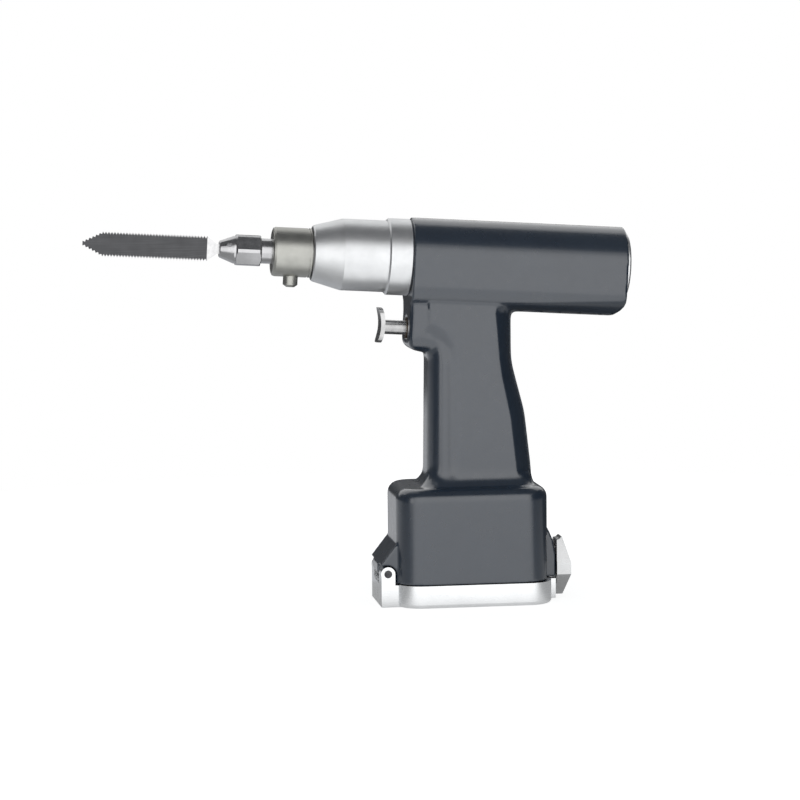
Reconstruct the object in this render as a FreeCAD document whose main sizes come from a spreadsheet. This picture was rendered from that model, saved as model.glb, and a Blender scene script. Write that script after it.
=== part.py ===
import FreeCAD, Part
import math
import os
import re

import Sketcher

# Surgical power handpiece with a reciprocating saw blade, in millimetres.
# The origin is the centre of the flat underside of the battery lid, the blade
# points to -X and +Z is up. Barrel pieces are drawn along their own axis, with
# s running from the casing front (0) to the rear, and are then tilted nose up.

os.makedirs("parts", exist_ok=True)
doc = FreeCAD.newDocument("power_handpiece")
sheet = doc.addObject("Spreadsheet::Sheet", "dims")

Vector = FreeCAD.Vector
Rotation = FreeCAD.Rotation

sizes = {
    # Barrel axis in the frame of the whole handpiece
    "axis_x": -30.0, "axis_z": 179.8, "barrel_tilt": 3.45,
    # Clearances
    "running_gap": 0.05, "seat_gap": 0.02, "part_gap": 0.3, "slot_gap": 0.1, "overlap": 1.0,
    # Casing: barrel
    "barrel_length": 112.0, "barrel_radius": 20.7, "barrel_drop": 25.3,
    "barrel_low_round": 13.0, "barrel_tail_round": 8.0, "bore_radius": 17.5,
    # Casing: trigger housing
    "housing_width": 31.0, "housing_side_round": 9.0, "housing_front_round": 3.0,
    "housing_toe_round": 4.0, "housing_low": 46.7,
    "housing_heel_s": 9.0, "housing_heel_low": 48.6, "housing_length": 30.0, "housing_high": 12.0,
    # Casing: grip
    "grip_width": 34.0, "grip_front_top": -21.4, "grip_front_low": -22.9,
    "grip_rear_top": 21.8, "grip_rear_mid": 28.7, "grip_rear_low": 32.0,
    "grip_waist_z": 126.0, "grip_mid_z": 99.5, "grip_low_z": 70.0, "grip_sweep_round": 45.0,
    "grip_front_round": 11.0, "grip_rear_round": 9.0, "grip_top_z": 160.0,
    "grip_cavity_front": -12.0, "grip_cavity_rear": 19.0, "grip_cavity_width": 24.0,
    "grip_foot_spread": 5.0, "grip_foot_height": 8.0, "grip_foot_rear": 1.6,
    "panel_groove": 2.4, "panel_groove_depth": 0.9, "panel_front": -9.4, "panel_lead": -22.4,
    "panel_knee_z": 128.0, "panel_top_z": 143.4, "panel_foot_z": 70.0, "panel_edge": 1.2,
    "arch_run": 5.6, "arch_fall": 3.2, "arch_lead": 1.5, "arch_rise": 6.4, "arch_slope": 28.0,
    # Casing: battery box
    "box_front": -40.4, "box_rear": 38.8, "box_width": 56.0, "box_top": 61.5,
    "box_corner": 13.0, "box_top_round": 6.0, "box_wall": 3.6, "bay_roof": 5.5,
    # Battery lid
    "lid_height": 11.8, "lid_overhang": 2.2, "lid_round": 2.0, "lid_floor": 2.6, "lid_wall": 7.0,
    "lid_tongue_width": 24.0, "lid_tongue_reach": 5.4, "lid_step": 0.4, "gasket_height": 1.2,
    "gasket_width": 1.6, "gasket_inset": 3.0, "gasket_squeeze": 0.1,
    # Front hinge
    "hinge_reach": 4.7, "hinge_rise": 5.5, "hinge_pin_radius": 2.0,
    "hinge_width": 38.0, "knuckle_width": 18.4, "knuckle_play": 0.2, "ear_radius": 3.7,
    "hinge_stand": 9.0, "hinge_slope_top": 33.0, "hinge_slope_low": 21.5,
    "ear_clearance": 0.6, "pin_slot_width": 0.7, "pin_slot_depth": 0.2, "pin_stand": 0.3,
    # Rear latch
    "latch_pivot_reach": 9.4, "latch_pivot_rise": 7.7, "latch_pin_radius": 1.3,
    "latch_top": 32.2, "latch_low": 2.0, "latch_width": 21.0,
    "latch_end_width": 10.0, "latch_cheek": 1.5, "latch_crest": 4.6, "latch_crest_high": 19.2,
    "latch_crest_low": 13.1, "latch_end": 0.9, "latch_gap": 0.7,
    "latch_hook": 1.8, "hook_low": 4.6, "hook_high": 6.4, "hook_heel": 8.0, "catch_low": 3.4,
    "lug_width": 7.0, "lug_radius": 3.0, "lug_clearance": 0.4, "finger_recess": 2.4,
    "boss_width": 19.0, "boss_reach": 5.8, "boss_top": 41.0, "boss_brow_in": 3.2, "boss_brow_drop": 5.2,
    "boss_cheek_in": 1.5, "boss_cheek_drop": 9.4, "boss_chin_in": 0.4, "boss_chin_drop": 15.0,
    "boss_back_drop": 19.0,
    "latch_spring_radius": 1.8, "latch_spring_z": 26.2, "latch_spring_depth": 5.0,
    "latch_spring_length": 8.6, "latch_seat_depth": 3.2,
    # Rear cap
    "cap_radius": 18.5, "cap_rim": 1.0, "cap_dome": 3.6, "cap_spigot": 6.0, "oring_section": 0.7,
    "oring_width": 1.2,
    # Nose
    "ring_length": 12.5, "ring_radius": 19.8, "ring_bore": 17.0, "ring_bevel": 0.8,
    "nose_cylinder": 23.0, "nose_taper": 15.3, "nose_radius": 18.5, "nose_front_radius": 14.5,
    "nose_bevel": 0.6, "nose_bore": 12.7, "nose_lip": 4.6, "nose_spigot": 6.0,
    # Collar
    "collar_gap": 0.8, "collar_length": 19.8, "collar_radius": 12.7,
    "collar_round": 1.5, "collar_spigot_radius": 9.9, "bush_radius": 8.5,
    "seal_length": 1.5, "lip_length": 2.0, "collar_groove": 0.8, "collar_groove_depth": 0.5,
    # Lock button
    "button_back": 9.6, "button_radius": 3.8, "button_out": 5.2, "button_face_radius": 2.1,
    "button_travel": 1.4, "button_dome": 1.2, "button_spring_radius": 2.4, "button_well": 4.0,
    # Springs
    "spring_wire": 0.6, "spring_play": 0.15,
    # Plunger and drive cam
    "rod_radius": 6.45, "rod_standout": 5.9, "rod_bevel": 0.3, "sleeve_bore": 9.3,
    "sleeve_radius": 11.5, "sleeve_rear": 4.0, "sleeve_front": 24.0,
    "sleeve_floor": 3.0, "drum_radius": 9.0, "drum_front": 18.0,
    "drum_length": 20.0, "cam_middle": 8.0, "cam_throw": 2.5,
    "cam_groove": 4.2, "cam_depth": 2.6, "follower_radius": 1.9, "follower_gap": 0.25,
    # Collet, nut and blade
    "thread_radius": 5.2, "thread_length": 6.7, "thread_bevel": 0.4, "nut_length": 13.0,
    "nut_flats": 15.5, "nut_corner_radius": 8.5, "nut_bevel": 0.8, "nut_gap": 0.15,
    "collet_length": 8.4, "collet_tip_radius": 4.4, "collet_base_radius": 7.1,
    "collet_base_length": 1.0, "collet_bevel": 0.5, "slit_width": 0.7, "slit_depth": 5.1,
    "relief_radius": 1.3, "relief_back": 3.4, "jaw_core": 2.0,
    "blade_standoff": 1.0, "blade_flare": 5.1, "blade_toothed": 54.2, "blade_point": 9.4,
    "blade_width": 12.7, "blade_thickness": 0.9, "blade_tip_width": 2.4,
    "tang_width": 5.0, "tang_gap": 2.0, "tooth_pitch": 1.525, "tooth_depth": 0.95, "tip_teeth": 5,
    # Gearbox: tooth shares are in modules
    "gear_module": 0.75, "sun_teeth": 12, "planet_teeth": 12,
    "tooth_addendum": 0.85, "tooth_dedendum": 1.2, "tooth_sink": 0.15, "tip_narrowing": 0.4,
    "root_widening": 0.42, "tooth_backlash": 0.2,
    "gear_start": 29.0, "gear_length": 9.0, "ring_gear_start": 22.0,
    "ring_gear_length": 22.0, "carrier_start": 24.0,
    "carrier_thickness": 4.0, "planet_pin_radius": 1.5,
    "output_radius": 4.0, "output_front": 19.0, "plate_start": 10.0,
    "plate_thickness": 8.0, "plate_shoulder": 1.0,
    # Bearings
    "big_ring_outer": 9.5, "big_ring_step": 1.5,
    "big_bearing_width": 6.0, "small_ring_outer": 6.5, "small_ring_step": 1.1,
    "small_bearing_width": 4.0,
    # Motor
    "shaft_radius": 2.5, "motor_plate_start": 46.0, "motor_plate_thickness": 6.0,
    "stator_start": 60.0, "stator_bore": 9.8, "rotor_radius": 9.3, "winding_length": 6.0,
    "winding_outer": 15.5, "winding_inner": 10.4, "winding_gap": 1.0, "rear_plate_thickness": 4.0,
    "cap_clearance": 1.0, "shaft_end": 0.5,
    # Trigger
    "trigger_drop": 36.5, "stem_radius": 3.7, "stem_rear": 8.0,
    "trigger_back": 11.4, "pad_height": 17.9, "pad_rise": 0.9, "pad_width": 12.5,
    "pad_thickness": 2.2, "pad_dish": 24.0, "pad_depth": 6.0, "pad_corner": 3.5, "stem_root": 0.4,
    "trigger_bush_radius": 5.5, "trigger_bush_length": 14.0,
    "trigger_spring_end": 21.0, "trigger_spring_wire": 0.9, "sensor_length": 12.0,
    "sensor_height": 15.0, "sensor_width": 16.0, "sensor_eye": 1.5,
    # Electronics in the grip
    "board_thickness": 1.6, "board_low": 78.0, "board_high": 124.0,
    "board_front": -10.0, "board_rear": 16.0, "board_screw_radius": 1.25,
    "screw_head_radius": 2.2, "screw_head_height": 1.4, "screw_inset": 3.5,
    "chip_size": 9.0, "chip_height": 1.4, "transistor_width": 5.0, "transistor_depth": 2.0,
    "transistor_height": 6.0, "transistor_pitch": 7.5, "transistor_column": 9.0,
    "board_margin": 1.0, "board_end": 8.0, "capacitor_radius": 4.0, "capacitor_length": 14.0,
    "capacitor_gap": 1.0, "capacitor_rise": 5.4,
    # Battery and its contacts
    "battery_clearance": 1.4, "battery_headroom": 2.0, "battery_wall": 1.6,
    "cell_radius": 8.2, "cell_play": 0.5, "cell_gap": 0.4,
    "contact_block_height": 6.0, "contact_middle": 4.0, "contact_pitch": 8.0, "contact_width": 6.0,
    "contact_thickness": 0.8, "contact_reach": 5.0, "terminal_height": 4.0,
    "terminal_width": 4.0, "terminal_bridge": 0.4,
}

# Places that follow from the sizes above
places = {
    "bay_top": "box_top - bay_roof",
    "lid_rear": "box_rear + lid_overhang",
    "lid_tongue_rear": "box_rear + lid_tongue_reach",
    "hinge_x": "box_front - hinge_reach",
    "hinge_z": "lid_height + hinge_rise",
    "hinge_front": "box_front - hinge_stand",
    "latch_pivot_x": "box_rear + latch_pivot_reach",
    "latch_pivot_z": "lid_height + latch_pivot_rise",
    "latch_crest_x": "latch_pivot_x + latch_crest",
    "latch_end_x": "latch_pivot_x + latch_end",
    "boss_rear": "box_rear + boss_reach",
    "latch_back": "boss_rear + latch_gap",
    "nose_cone_end": "ring_length + nose_cylinder",
    "nose_front": "nose_cone_end + nose_taper",
    "collar_rear": "nose_front + collar_gap",
    "collar_front": "collar_rear + collar_length",
    "button_s": "collar_rear + button_back",
    "rod_front": "collar_front + rod_standout",
    "thread_front": "rod_front + thread_length",
    "nut_front": "rod_front + nut_length",
    "collet_front": "nut_front + collet_length",
    "blade_neck": "collet_front + blade_standoff",
    "blade_heel": "blade_neck + blade_flare",
    "blade_shoulder": "blade_heel + blade_toothed",
    "blade_tip": "blade_shoulder + blade_point",
    "tang_end": "thread_front + tang_gap",
    "rear_plate_start": "barrel_length - cap_spigot - cap_clearance - rear_plate_thickness",
    "stator_end": "rear_plate_start - winding_gap - winding_length",
    "battery_front": "box_front + box_wall + battery_clearance",
    "battery_rear": "box_rear - box_wall - battery_clearance",
    "battery_width": "box_width - 2 * box_wall - 2 * battery_clearance",
    "battery_corner": "box_corner - box_wall - battery_clearance",
    "battery_low": "lid_height + part_gap + gasket_height",
    "battery_top": "bay_top - battery_headroom",
    "contact_low": "battery_top - contact_reach",
    "planet_centre": "gear_module * (sun_teeth + planet_teeth) / 2",
    "ring_teeth": "sun_teeth + 2 * planet_teeth",
    "carrier_radius": "gear_module * (ring_teeth / 2 - tooth_addendum) - part_gap",
}

for row, (alias, size) in enumerate(sizes.items(), 1):
    sheet.set(f"A{row}", alias)
    sheet.set(f"B{row}", str(size))
    sheet.setAlias(f"B{row}", alias)
doc.recompute()

word = re.compile(r"[a-z][a-z_]*")


def named(formula):
    """Write a formula's names the way the document refers to them."""
    def spelled(match):
        name = match.group()
        if name in places:
            return f"({named(places[name])})"
        return "dims." + name if name in sizes else name
    return word.sub(spelled, str(formula))


def bind(piece, prop, formula):
    piece.setExpression(prop, named(formula))


def value(formula):
    """The present value of a formula, for the first place of a sketch point."""
    return float(sheet.evalExpression(named(formula)))


def move(piece, at):
    for axis, formula in zip("xyz", at):
        bind(piece, f"Placement.Base.{axis}", formula)


def on_barrel(piece):
    """Carry a piece from the barrel's own axes into the handpiece's frame."""
    piece.Placement = FreeCAD.Placement(Vector(0, 0, 0), Rotation(Vector(0, 1, 0), 1))
    move(piece, ("axis_x", "0", "axis_z"))
    bind(piece, "Placement.Rotation.Angle", "barrel_tilt")
    return piece


turns = {
    "x": Rotation(Vector(0, 1, 0), 90),
    "y": Rotation(Vector(1, 0, 0), -90),
    "z": Rotation(),
}


def cylinder(name, radius, length, at, along):
    piece = doc.addObject("Part::Cylinder", name)
    piece.Placement = FreeCAD.Placement(Vector(0, 0, 0), turns[along])
    bind(piece, "Radius", radius)
    bind(piece, "Height", length)
    move(piece, at)
    return piece


def block(name, x, y, z):
    """A box between pairs of low and high formulas."""
    piece = doc.addObject("Part::Box", name)
    for prop, (low, high) in zip(("Length", "Width", "Height"), (x, y, z)):
        bind(piece, prop, f"({high}) - ({low})")
    move(piece, (x[0], y[0], z[0]))
    return piece


def fuse(name, *pieces):
    piece = doc.addObject("Part::MultiFuse", name)
    piece.Shapes = list(pieces)
    return piece


def cut(name, base, *tools):
    piece = doc.addObject("Part::Cut", name)
    piece.Base = base
    piece.Tool = tools[0] if len(tools) == 1 else fuse(name + "_cuts", *tools)
    return piece


def common(name, first, second):
    piece = doc.addObject("Part::Common", name)
    piece.Base = first
    piece.Tool = second
    return piece


def group(name, pieces):
    """Separate solids that share one node."""
    piece = doc.addObject("Part::Compound", name)
    piece.Links = pieces
    return piece


def sketch_on(body, name, role, offset="0"):
    sketch = body.newObject("Sketcher::SketchObject", name)
    plane = next(p for p in body.Origin.OriginFeatures if p.Role == role)
    sketch.AttachmentSupport = (plane, "")
    sketch.MapMode = "FlatFace"
    bind(sketch, "AttachmentOffset.Base.z", offset)
    return sketch


def hold(sketch, kind, geometry, point, formula):
    """Hold one sketch point at a bound distance from the sketch's origin."""
    if formula == "0":
        axis = -2 if kind == "DistanceX" else -1
        sketch.addConstraint(Sketcher.Constraint("PointOnObject", geometry, point, axis))
        return
    number = sketch.addConstraint(Sketcher.Constraint(kind, -1, 1, geometry, point, value(formula)))
    bind(sketch, f"Constraints[{number}]", formula)


def polygon(sketch, corners):
    """A closed outline with every corner held by a pair of formulas."""
    places = [Vector(value(u), value(v), 0) for u, v in corners]
    count = len(corners)
    for index in range(count):
        sketch.addGeometry(Part.LineSegment(places[index], places[(index + 1) % count]))
    for index in range(count):
        sketch.addConstraint(Sketcher.Constraint("Coincident", index, 2, (index + 1) % count, 1))
    for index, (u, v) in enumerate(corners):
        hold(sketch, "DistanceX", index, 1, u)
        hold(sketch, "DistanceY", index, 1, v)


def round_rectangle(sketch, u, v, radius):
    """A rectangle between pairs of formulas with four equal round corners."""
    u0, u1, v0, v1 = value(u[0]), value(u[1]), value(v[0]), value(v[1])
    r = value(radius)
    corners = [(u1 - r, v0 + r, -90), (u1 - r, v1 - r, 0), (u0 + r, v1 - r, 90), (u0 + r, v0 + r, 180)]
    sides = [((u0 + r, v0), (u1 - r, v0)), ((u1, v0 + r), (u1, v1 - r)),
             ((u1 - r, v1), (u0 + r, v1)), ((u0, v1 - r), (u0, v0 + r))]
    for (start, end), (cu, cv, angle) in zip(sides, corners):
        sketch.addGeometry(Part.LineSegment(Vector(*start, 0), Vector(*end, 0)))
        circle = Part.Circle(Vector(cu, cv, 0), Vector(0, 0, 1), r)
        begin = math.radians(angle)
        sketch.addGeometry(Part.ArcOfCircle(circle, begin, begin + math.pi / 2))
    for index in range(4):
        line, arc, following = 2 * index, 2 * index + 1, (2 * index + 2) % 8
        sketch.addConstraint(Sketcher.Constraint("Tangent", line, 2, arc, 1))
        sketch.addConstraint(Sketcher.Constraint("Tangent", arc, 2, following, 1))
        sketch.addConstraint(Sketcher.Constraint(("Horizontal", "Vertical")[index % 2], line))
        if index:
            sketch.addConstraint(Sketcher.Constraint("Equal", 1, arc))
    number = sketch.addConstraint(Sketcher.Constraint("Radius", 1, r))
    bind(sketch, f"Constraints[{number}]", radius)
    hold(sketch, "DistanceY", 0, 1, v[0])
    hold(sketch, "DistanceX", 2, 1, u[1])
    hold(sketch, "DistanceY", 4, 1, v[1])
    hold(sketch, "DistanceX", 6, 1, u[0])


def pad(body, sketch, length, both_ways=False):
    feature = body.newObject("PartDesign::Pad", sketch.Name + "_pad")
    feature.Profile = sketch
    feature.Midplane = both_ways
    bind(feature, "Length", length)
    return feature


def turned(name, profile):
    """A piece turned about the s axis, from corners given as (s, radius)."""
    body = doc.addObject("PartDesign::Body", name)
    sketch = sketch_on(body, name + "_profile", "XZ_Plane")
    polygon(sketch, profile)
    feature = body.newObject("PartDesign::Revolution", name + "_turn")
    feature.Profile = sketch
    feature.ReferenceAxis = (sketch, ["H_Axis"])
    feature.Angle = 360
    return body


def rounded_block(name, x, y, z, radius):
    """A box between pairs of low and high formulas, with its upright edges rounded."""
    body = doc.addObject("PartDesign::Body", name)
    sketch = sketch_on(body, name + "_plan", "XY_Plane", z[0])
    round_rectangle(sketch, x, y, radius)
    pad(body, sketch, f"({z[1]}) - ({z[0]})")
    return body


def side_plate(name, profile, width):
    """A piece with one side outline, given as (x, z), and a width across y."""
    body = doc.addObject("PartDesign::Body", name)
    sketch = sketch_on(body, name + "_outline", "XZ_Plane")
    polygon(sketch, profile)
    pad(body, sketch, width, both_ways=True)
    return body


def soften(body, name, radius, wanted):
    """Round the edges of a body's last feature that a test picks."""
    doc.recompute()
    base = body.Tip
    picked = [f"Edge{n}" for n, edge in enumerate(base.Shape.Edges, 1) if wanted(edge)]
    feature = body.newObject("PartDesign::Fillet", name)
    feature.Base = (base, picked)
    bind(feature, "Radius", radius)
    return feature


def middle(edge):
    return edge.valueAt((edge.FirstParameter + edge.LastParameter) / 2)


def tube(name, outer, inner, start, end):
    return turned(name, [(start, inner), (end, inner), (end, outer), (start, outer)])


# Casing: barrel, trigger housing, grip and battery box in one moulding

def make_barrel():
    """A round top on the barrel axis, flat cheeks and a rounded belly."""
    body = doc.addObject("PartDesign::Body", "barrel_form")
    sketch = sketch_on(body, "barrel_section", "YZ_Plane")
    r, drop, low = value("barrel_radius"), value("barrel_drop"), value("barrel_low_round")
    up = Vector(0, 0, 1)
    sketch.addGeometry(Part.ArcOfCircle(Part.Circle(Vector(0, 0, 0), up, r), 0, math.pi))
    sketch.addGeometry(Part.LineSegment(Vector(-r, 0, 0), Vector(-r, low - drop, 0)))
    left = Part.Circle(Vector(low - r, low - drop, 0), up, low)
    sketch.addGeometry(Part.ArcOfCircle(left, math.pi, 1.5 * math.pi))
    sketch.addGeometry(Part.LineSegment(Vector(low - r, -drop, 0), Vector(r - low, -drop, 0)))
    right = Part.Circle(Vector(r - low, low - drop, 0), up, low)
    sketch.addGeometry(Part.ArcOfCircle(right, 1.5 * math.pi, 2 * math.pi))
    sketch.addGeometry(Part.LineSegment(Vector(r, low - drop, 0), Vector(r, 0, 0)))
    for index in range(6):
        sketch.addConstraint(Sketcher.Constraint("Tangent", index, 2, (index + 1) % 6, 1))
    sketch.addConstraint(Sketcher.Constraint("Coincident", 0, 3, -1, 1))
    sketch.addConstraint(Sketcher.Constraint("Vertical", 1))
    sketch.addConstraint(Sketcher.Constraint("Horizontal", 3))
    sketch.addConstraint(Sketcher.Constraint("Vertical", 5))
    sketch.addConstraint(Sketcher.Constraint("Equal", 2, 4))
    for arc, formula in ((0, "barrel_radius"), (2, "barrel_low_round")):
        number = sketch.addConstraint(Sketcher.Constraint("Radius", arc, value(formula)))
        bind(sketch, f"Constraints[{number}]", formula)
    hold(sketch, "DistanceY", 3, 1, "-barrel_drop")
    pad(body, sketch, "barrel_length")
    side = side_plate("barrel_side", [
        ("0", "-barrel_drop - overlap"), ("barrel_length", "-barrel_drop"),
        ("barrel_length", "barrel_radius + overlap"), ("0", "barrel_radius + overlap")], "3 * barrel_radius")
    soften(side, "barrel_tail", "barrel_tail_round",
           lambda e: middle(e).x > value("barrel_length") - 0.1 and middle(e).z < 1 - value("barrel_drop")
           and abs(middle(e).y) < 1)
    return on_barrel(common("barrel", body, side))


def make_trigger_housing():
    housing = side_plate("trigger_housing", [
        ("0", "-housing_high"), ("0", "-housing_low"), ("housing_heel_s", "-housing_heel_low"),
        ("housing_length", "-housing_heel_low - overlap"), ("housing_length", "-housing_high")],
        "housing_width")
    soften(housing, "housing_toe", "housing_toe_round",
           lambda e: abs(middle(e).z + value("housing_low")) < 0.1 and abs(middle(e).y) < 1)
    soften(housing, "housing_cheeks", "housing_front_round",
           lambda e: middle(e).x < 1.5 and abs(middle(e).y) > 1)
    section = doc.addObject("PartDesign::Body", "housing_section")
    sketch = sketch_on(section, "housing_round", "YZ_Plane", "-overlap")
    round_rectangle(sketch, ("-housing_width / 2", "housing_width / 2"),
                    ("-housing_heel_low", "housing_side_round"), "housing_side_round")
    pad(section, sketch, "housing_length + 2 * overlap")
    return on_barrel(common("rounded_housing", housing, section))


def make_grip():
    grip = side_plate("grip", [
        ("grip_front_top", "grip_top_z"), ("grip_front_low", "box_top - overlap"),
        ("grip_rear_low", "box_top - overlap"), ("grip_rear_low", "grip_low_z"),
        ("grip_rear_mid", "grip_mid_z"), ("grip_rear_top", "grip_waist_z"),
        ("grip_rear_top", "grip_top_z")], "grip_width")
    bends = [value("grip_low_z"), value("grip_mid_z"), value("grip_waist_z")]
    soften(grip, "grip_sweep", "grip_sweep_round",
           lambda e: abs(middle(e).y) < 1 and any(abs(middle(e).z - z) < 0.1 for z in bends))
    edge_y = value("grip_width") / 2
    soften(grip, "grip_fingers", "grip_front_round",
           lambda e: abs(abs(middle(e).y) - edge_y) < 0.1 and middle(e).x < value("grip_front_top") + 0.5)
    soften(grip, "grip_palm", "grip_rear_round",
           lambda e: abs(abs(middle(e).y) - edge_y) < 0.1 and middle(e).x > value("grip_rear_top") - 1
           and middle(e).z < value("grip_top_z") - 1 and middle(e).z > value("box_top") - 1)
    return grip


def make_grip_panel():
    """The flat cheeks of the grip, carried forward over the arch above the fingers."""
    panel = side_plate("grip_panel", [
        ("panel_lead", "grip_top_z"), ("panel_lead", "panel_top_z"),
        ("panel_front - arch_run", "panel_top_z - arch_fall"),
        ("panel_front - arch_lead", "panel_knee_z + arch_rise"),
        ("panel_front", "panel_knee_z"), ("panel_front", "panel_foot_z"), ("0", "panel_foot_z"),
        ("0", "grip_top_z")], "grip_width")
    edge_y = value("grip_width") / 2
    soften(panel, "panel_edges", "panel_edge",
           lambda e: abs(abs(middle(e).y) - edge_y) < 0.1 and middle(e).x < value("panel_front") + 0.1
           and middle(e).z > value("panel_foot_z") + 1 and middle(e).z < value("grip_top_z") - 0.1)
    return panel


def make_grip_foot():
    """The flare that spreads the grip onto the battery box."""
    body = doc.addObject("PartDesign::Body", "grip_foot")
    levels = [("grip_foot_height", "(-0.12)"), ("0.35 * grip_foot_height", "0.28"), ("-0.5", "1")]
    sections = []
    for number, (height, share) in enumerate(levels):
        sketch = sketch_on(body, f"foot_section_{number}", "XY_Plane", f"box_top + {height}")
        spread = f"grip_foot_spread * {share}"
        round_rectangle(sketch, (f"grip_front_low - {spread}", f"grip_rear_low + grip_foot_rear * {share}"),
                        (f"-grip_width / 2 - {spread}", f"grip_width / 2 + {spread}"), "grip_rear_round")
        sections.append(sketch)
    feature = body.newObject("PartDesign::AdditiveLoft", "foot_loft")
    feature.Profile = sections[0]
    feature.Sections = sections[1:]
    return body


def make_battery_box():
    body = doc.addObject("PartDesign::Body", "battery_box")
    sketch = sketch_on(body, "box_plan", "XY_Plane", "lid_height + part_gap")
    round_rectangle(sketch, ("box_front", "box_rear"), ("-box_width / 2", "box_width / 2"), "box_corner")
    pad(body, sketch, "box_top - lid_height - part_gap")
    soften(body, "box_shoulder", "box_top_round", lambda e: middle(e).z > value("box_top") - 0.1)
    return body


def make_panel_groove():
    """The hollow between the finger side of the grip and its flat cheeks."""
    front, knee, top, wide = "panel_front", "panel_knee_z", "panel_top_z", "panel_groove"
    across, down = f"{wide} * sin(arch_slope)", f"{wide} * cos(arch_slope)"
    ribbon = side_plate("groove_path", [
        ("grip_front_top - 2 * overlap", top), (f"{front} - arch_run", f"{top} - arch_fall"),
        (f"{front} - arch_lead", f"{knee} + arch_rise"), (front, knee), (front, "box_top + grip_foot_height"),
        (f"{front} - {wide}", "box_top + grip_foot_height"), (f"{front} - {wide}", knee),
        (f"{front} - arch_lead - {down}", f"{knee} + arch_rise - {across}"),
        (f"{front} - arch_run - {across}", f"{top} - arch_fall - {down}"),
        ("grip_front_top - 2 * overlap", f"{top} - {wide}")], "grip_width + 4 * overlap")
    core = block("groove_core", ("grip_front_low - box_corner", "grip_rear_low"),
                 ("panel_groove_depth - grip_width / 2", "grip_width / 2 - panel_groove_depth"),
                 ("box_top - overlap", "grip_top_z"))
    return cut("panel_grooves", ribbon, core)


def make_hinge_block():
    return side_plate("hinge_block", [
        ("box_front + overlap", "hinge_slope_top + overlap"), ("box_front", "hinge_slope_top"),
        ("hinge_front", "hinge_slope_low"), ("hinge_front", "hinge_z"),
        ("hinge_x", "lid_height + part_gap"), ("box_front + overlap", "lid_height + part_gap")],
        "hinge_width")


def make_ear_notch(side):
    """Room for one lid ear beside the casing's knuckle."""
    low = "knuckle_width / 2" if side > 0 else "-hinge_width / 2 - overlap"
    span = "hinge_width / 2 + overlap - knuckle_width / 2"
    reach = "ear_radius + ear_clearance"
    mark = "far" if side > 0 else "near"
    swing = cylinder(f"ear_swing_{mark}", reach, span, ("hinge_x", low, "hinge_z"), "y")
    room = block(f"ear_room_{mark}", ("hinge_front - overlap", f"hinge_x + {reach}"),
                 (low, f"{low} + {span}"), ("lid_height - overlap", "hinge_z"))
    mouth = block(f"ear_mouth_{mark}", ("hinge_front - overlap", "hinge_x"), (low, f"{low} + {span}"),
                  ("hinge_z - overlap", f"hinge_z + {reach}"))
    return [swing, room, mouth]


def make_latch_boss():
    boss = side_plate("latch_boss", [
        ("box_rear - overlap", "boss_top + overlap"), ("box_rear", "boss_top"),
        ("boss_rear - boss_brow_in", "boss_top - boss_brow_drop"),
        ("boss_rear - boss_cheek_in", "boss_top - boss_cheek_drop"),
        ("boss_rear - boss_chin_in", "boss_top - boss_chin_drop"), ("boss_rear", "boss_top - boss_back_drop"),
        ("boss_rear", "lid_height + part_gap"), ("box_rear - overlap", "lid_height + part_gap")],
        "boss_width")
    lug = cylinder("latch_lug", "lug_radius", "lug_width",
                   ("latch_pivot_x", "-lug_width / 2", "latch_pivot_z"), "y")
    web = block("latch_web", ("boss_rear - overlap", "latch_pivot_x"), ("-lug_width / 2", "lug_width / 2"),
                ("latch_pivot_z - lug_radius", "latch_pivot_z + lug_radius"))
    return [boss, lug, web]


def make_casing():
    solid = fuse("casing_form", make_barrel(), make_trigger_housing(), make_grip(), make_grip_panel(),
                 make_grip_foot(),
                 make_battery_box(), make_hinge_block(), *make_latch_boss())
    motor_bore = cylinder("motor_bore", "bore_radius", "barrel_length + 2 * overlap",
                          ("-overlap", "0", "0"), "x")
    trigger_bore = cylinder("trigger_bore", "trigger_bush_radius", "housing_length",
                            ("-overlap", "0", "-trigger_drop"), "x")
    bores = on_barrel(fuse("barrel_bores", motor_bore, trigger_bore))
    cavity = block("grip_cavity", ("grip_cavity_front", "grip_cavity_rear"),
                   ("-grip_cavity_width / 2", "grip_cavity_width / 2"),
                   ("bay_top - overlap", "axis_z - bore_radius"))
    bay = rounded_block("battery_bay", ("box_front + box_wall", "box_rear - box_wall"),
                        ("box_wall - box_width / 2", "box_width / 2 - box_wall"),
                        ("lid_height - overlap", "bay_top"), "box_corner - box_wall")
    hinge_hole = cylinder("hinge_hole", "hinge_pin_radius", "knuckle_width + 2 * overlap",
                          ("hinge_x", "-knuckle_width / 2 - overlap", "hinge_z"), "y")
    latch_hole = cylinder("latch_hole", "latch_pin_radius", "lug_width + 2 * overlap",
                          ("latch_pivot_x", "-lug_width / 2 - overlap", "latch_pivot_z"), "y")
    spring_hole = cylinder("latch_spring_hole", "latch_spring_radius + spring_play",
                           "latch_spring_depth + overlap",
                           ("boss_rear - latch_spring_depth", "0", "latch_spring_z"), "x")
    return cut("main_casing", solid, bores, cavity, bay, hinge_hole, latch_hole, spring_hole,
               make_panel_groove(), *make_ear_notch(1), *make_ear_notch(-1))


# Rear cap with its o-ring

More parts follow.
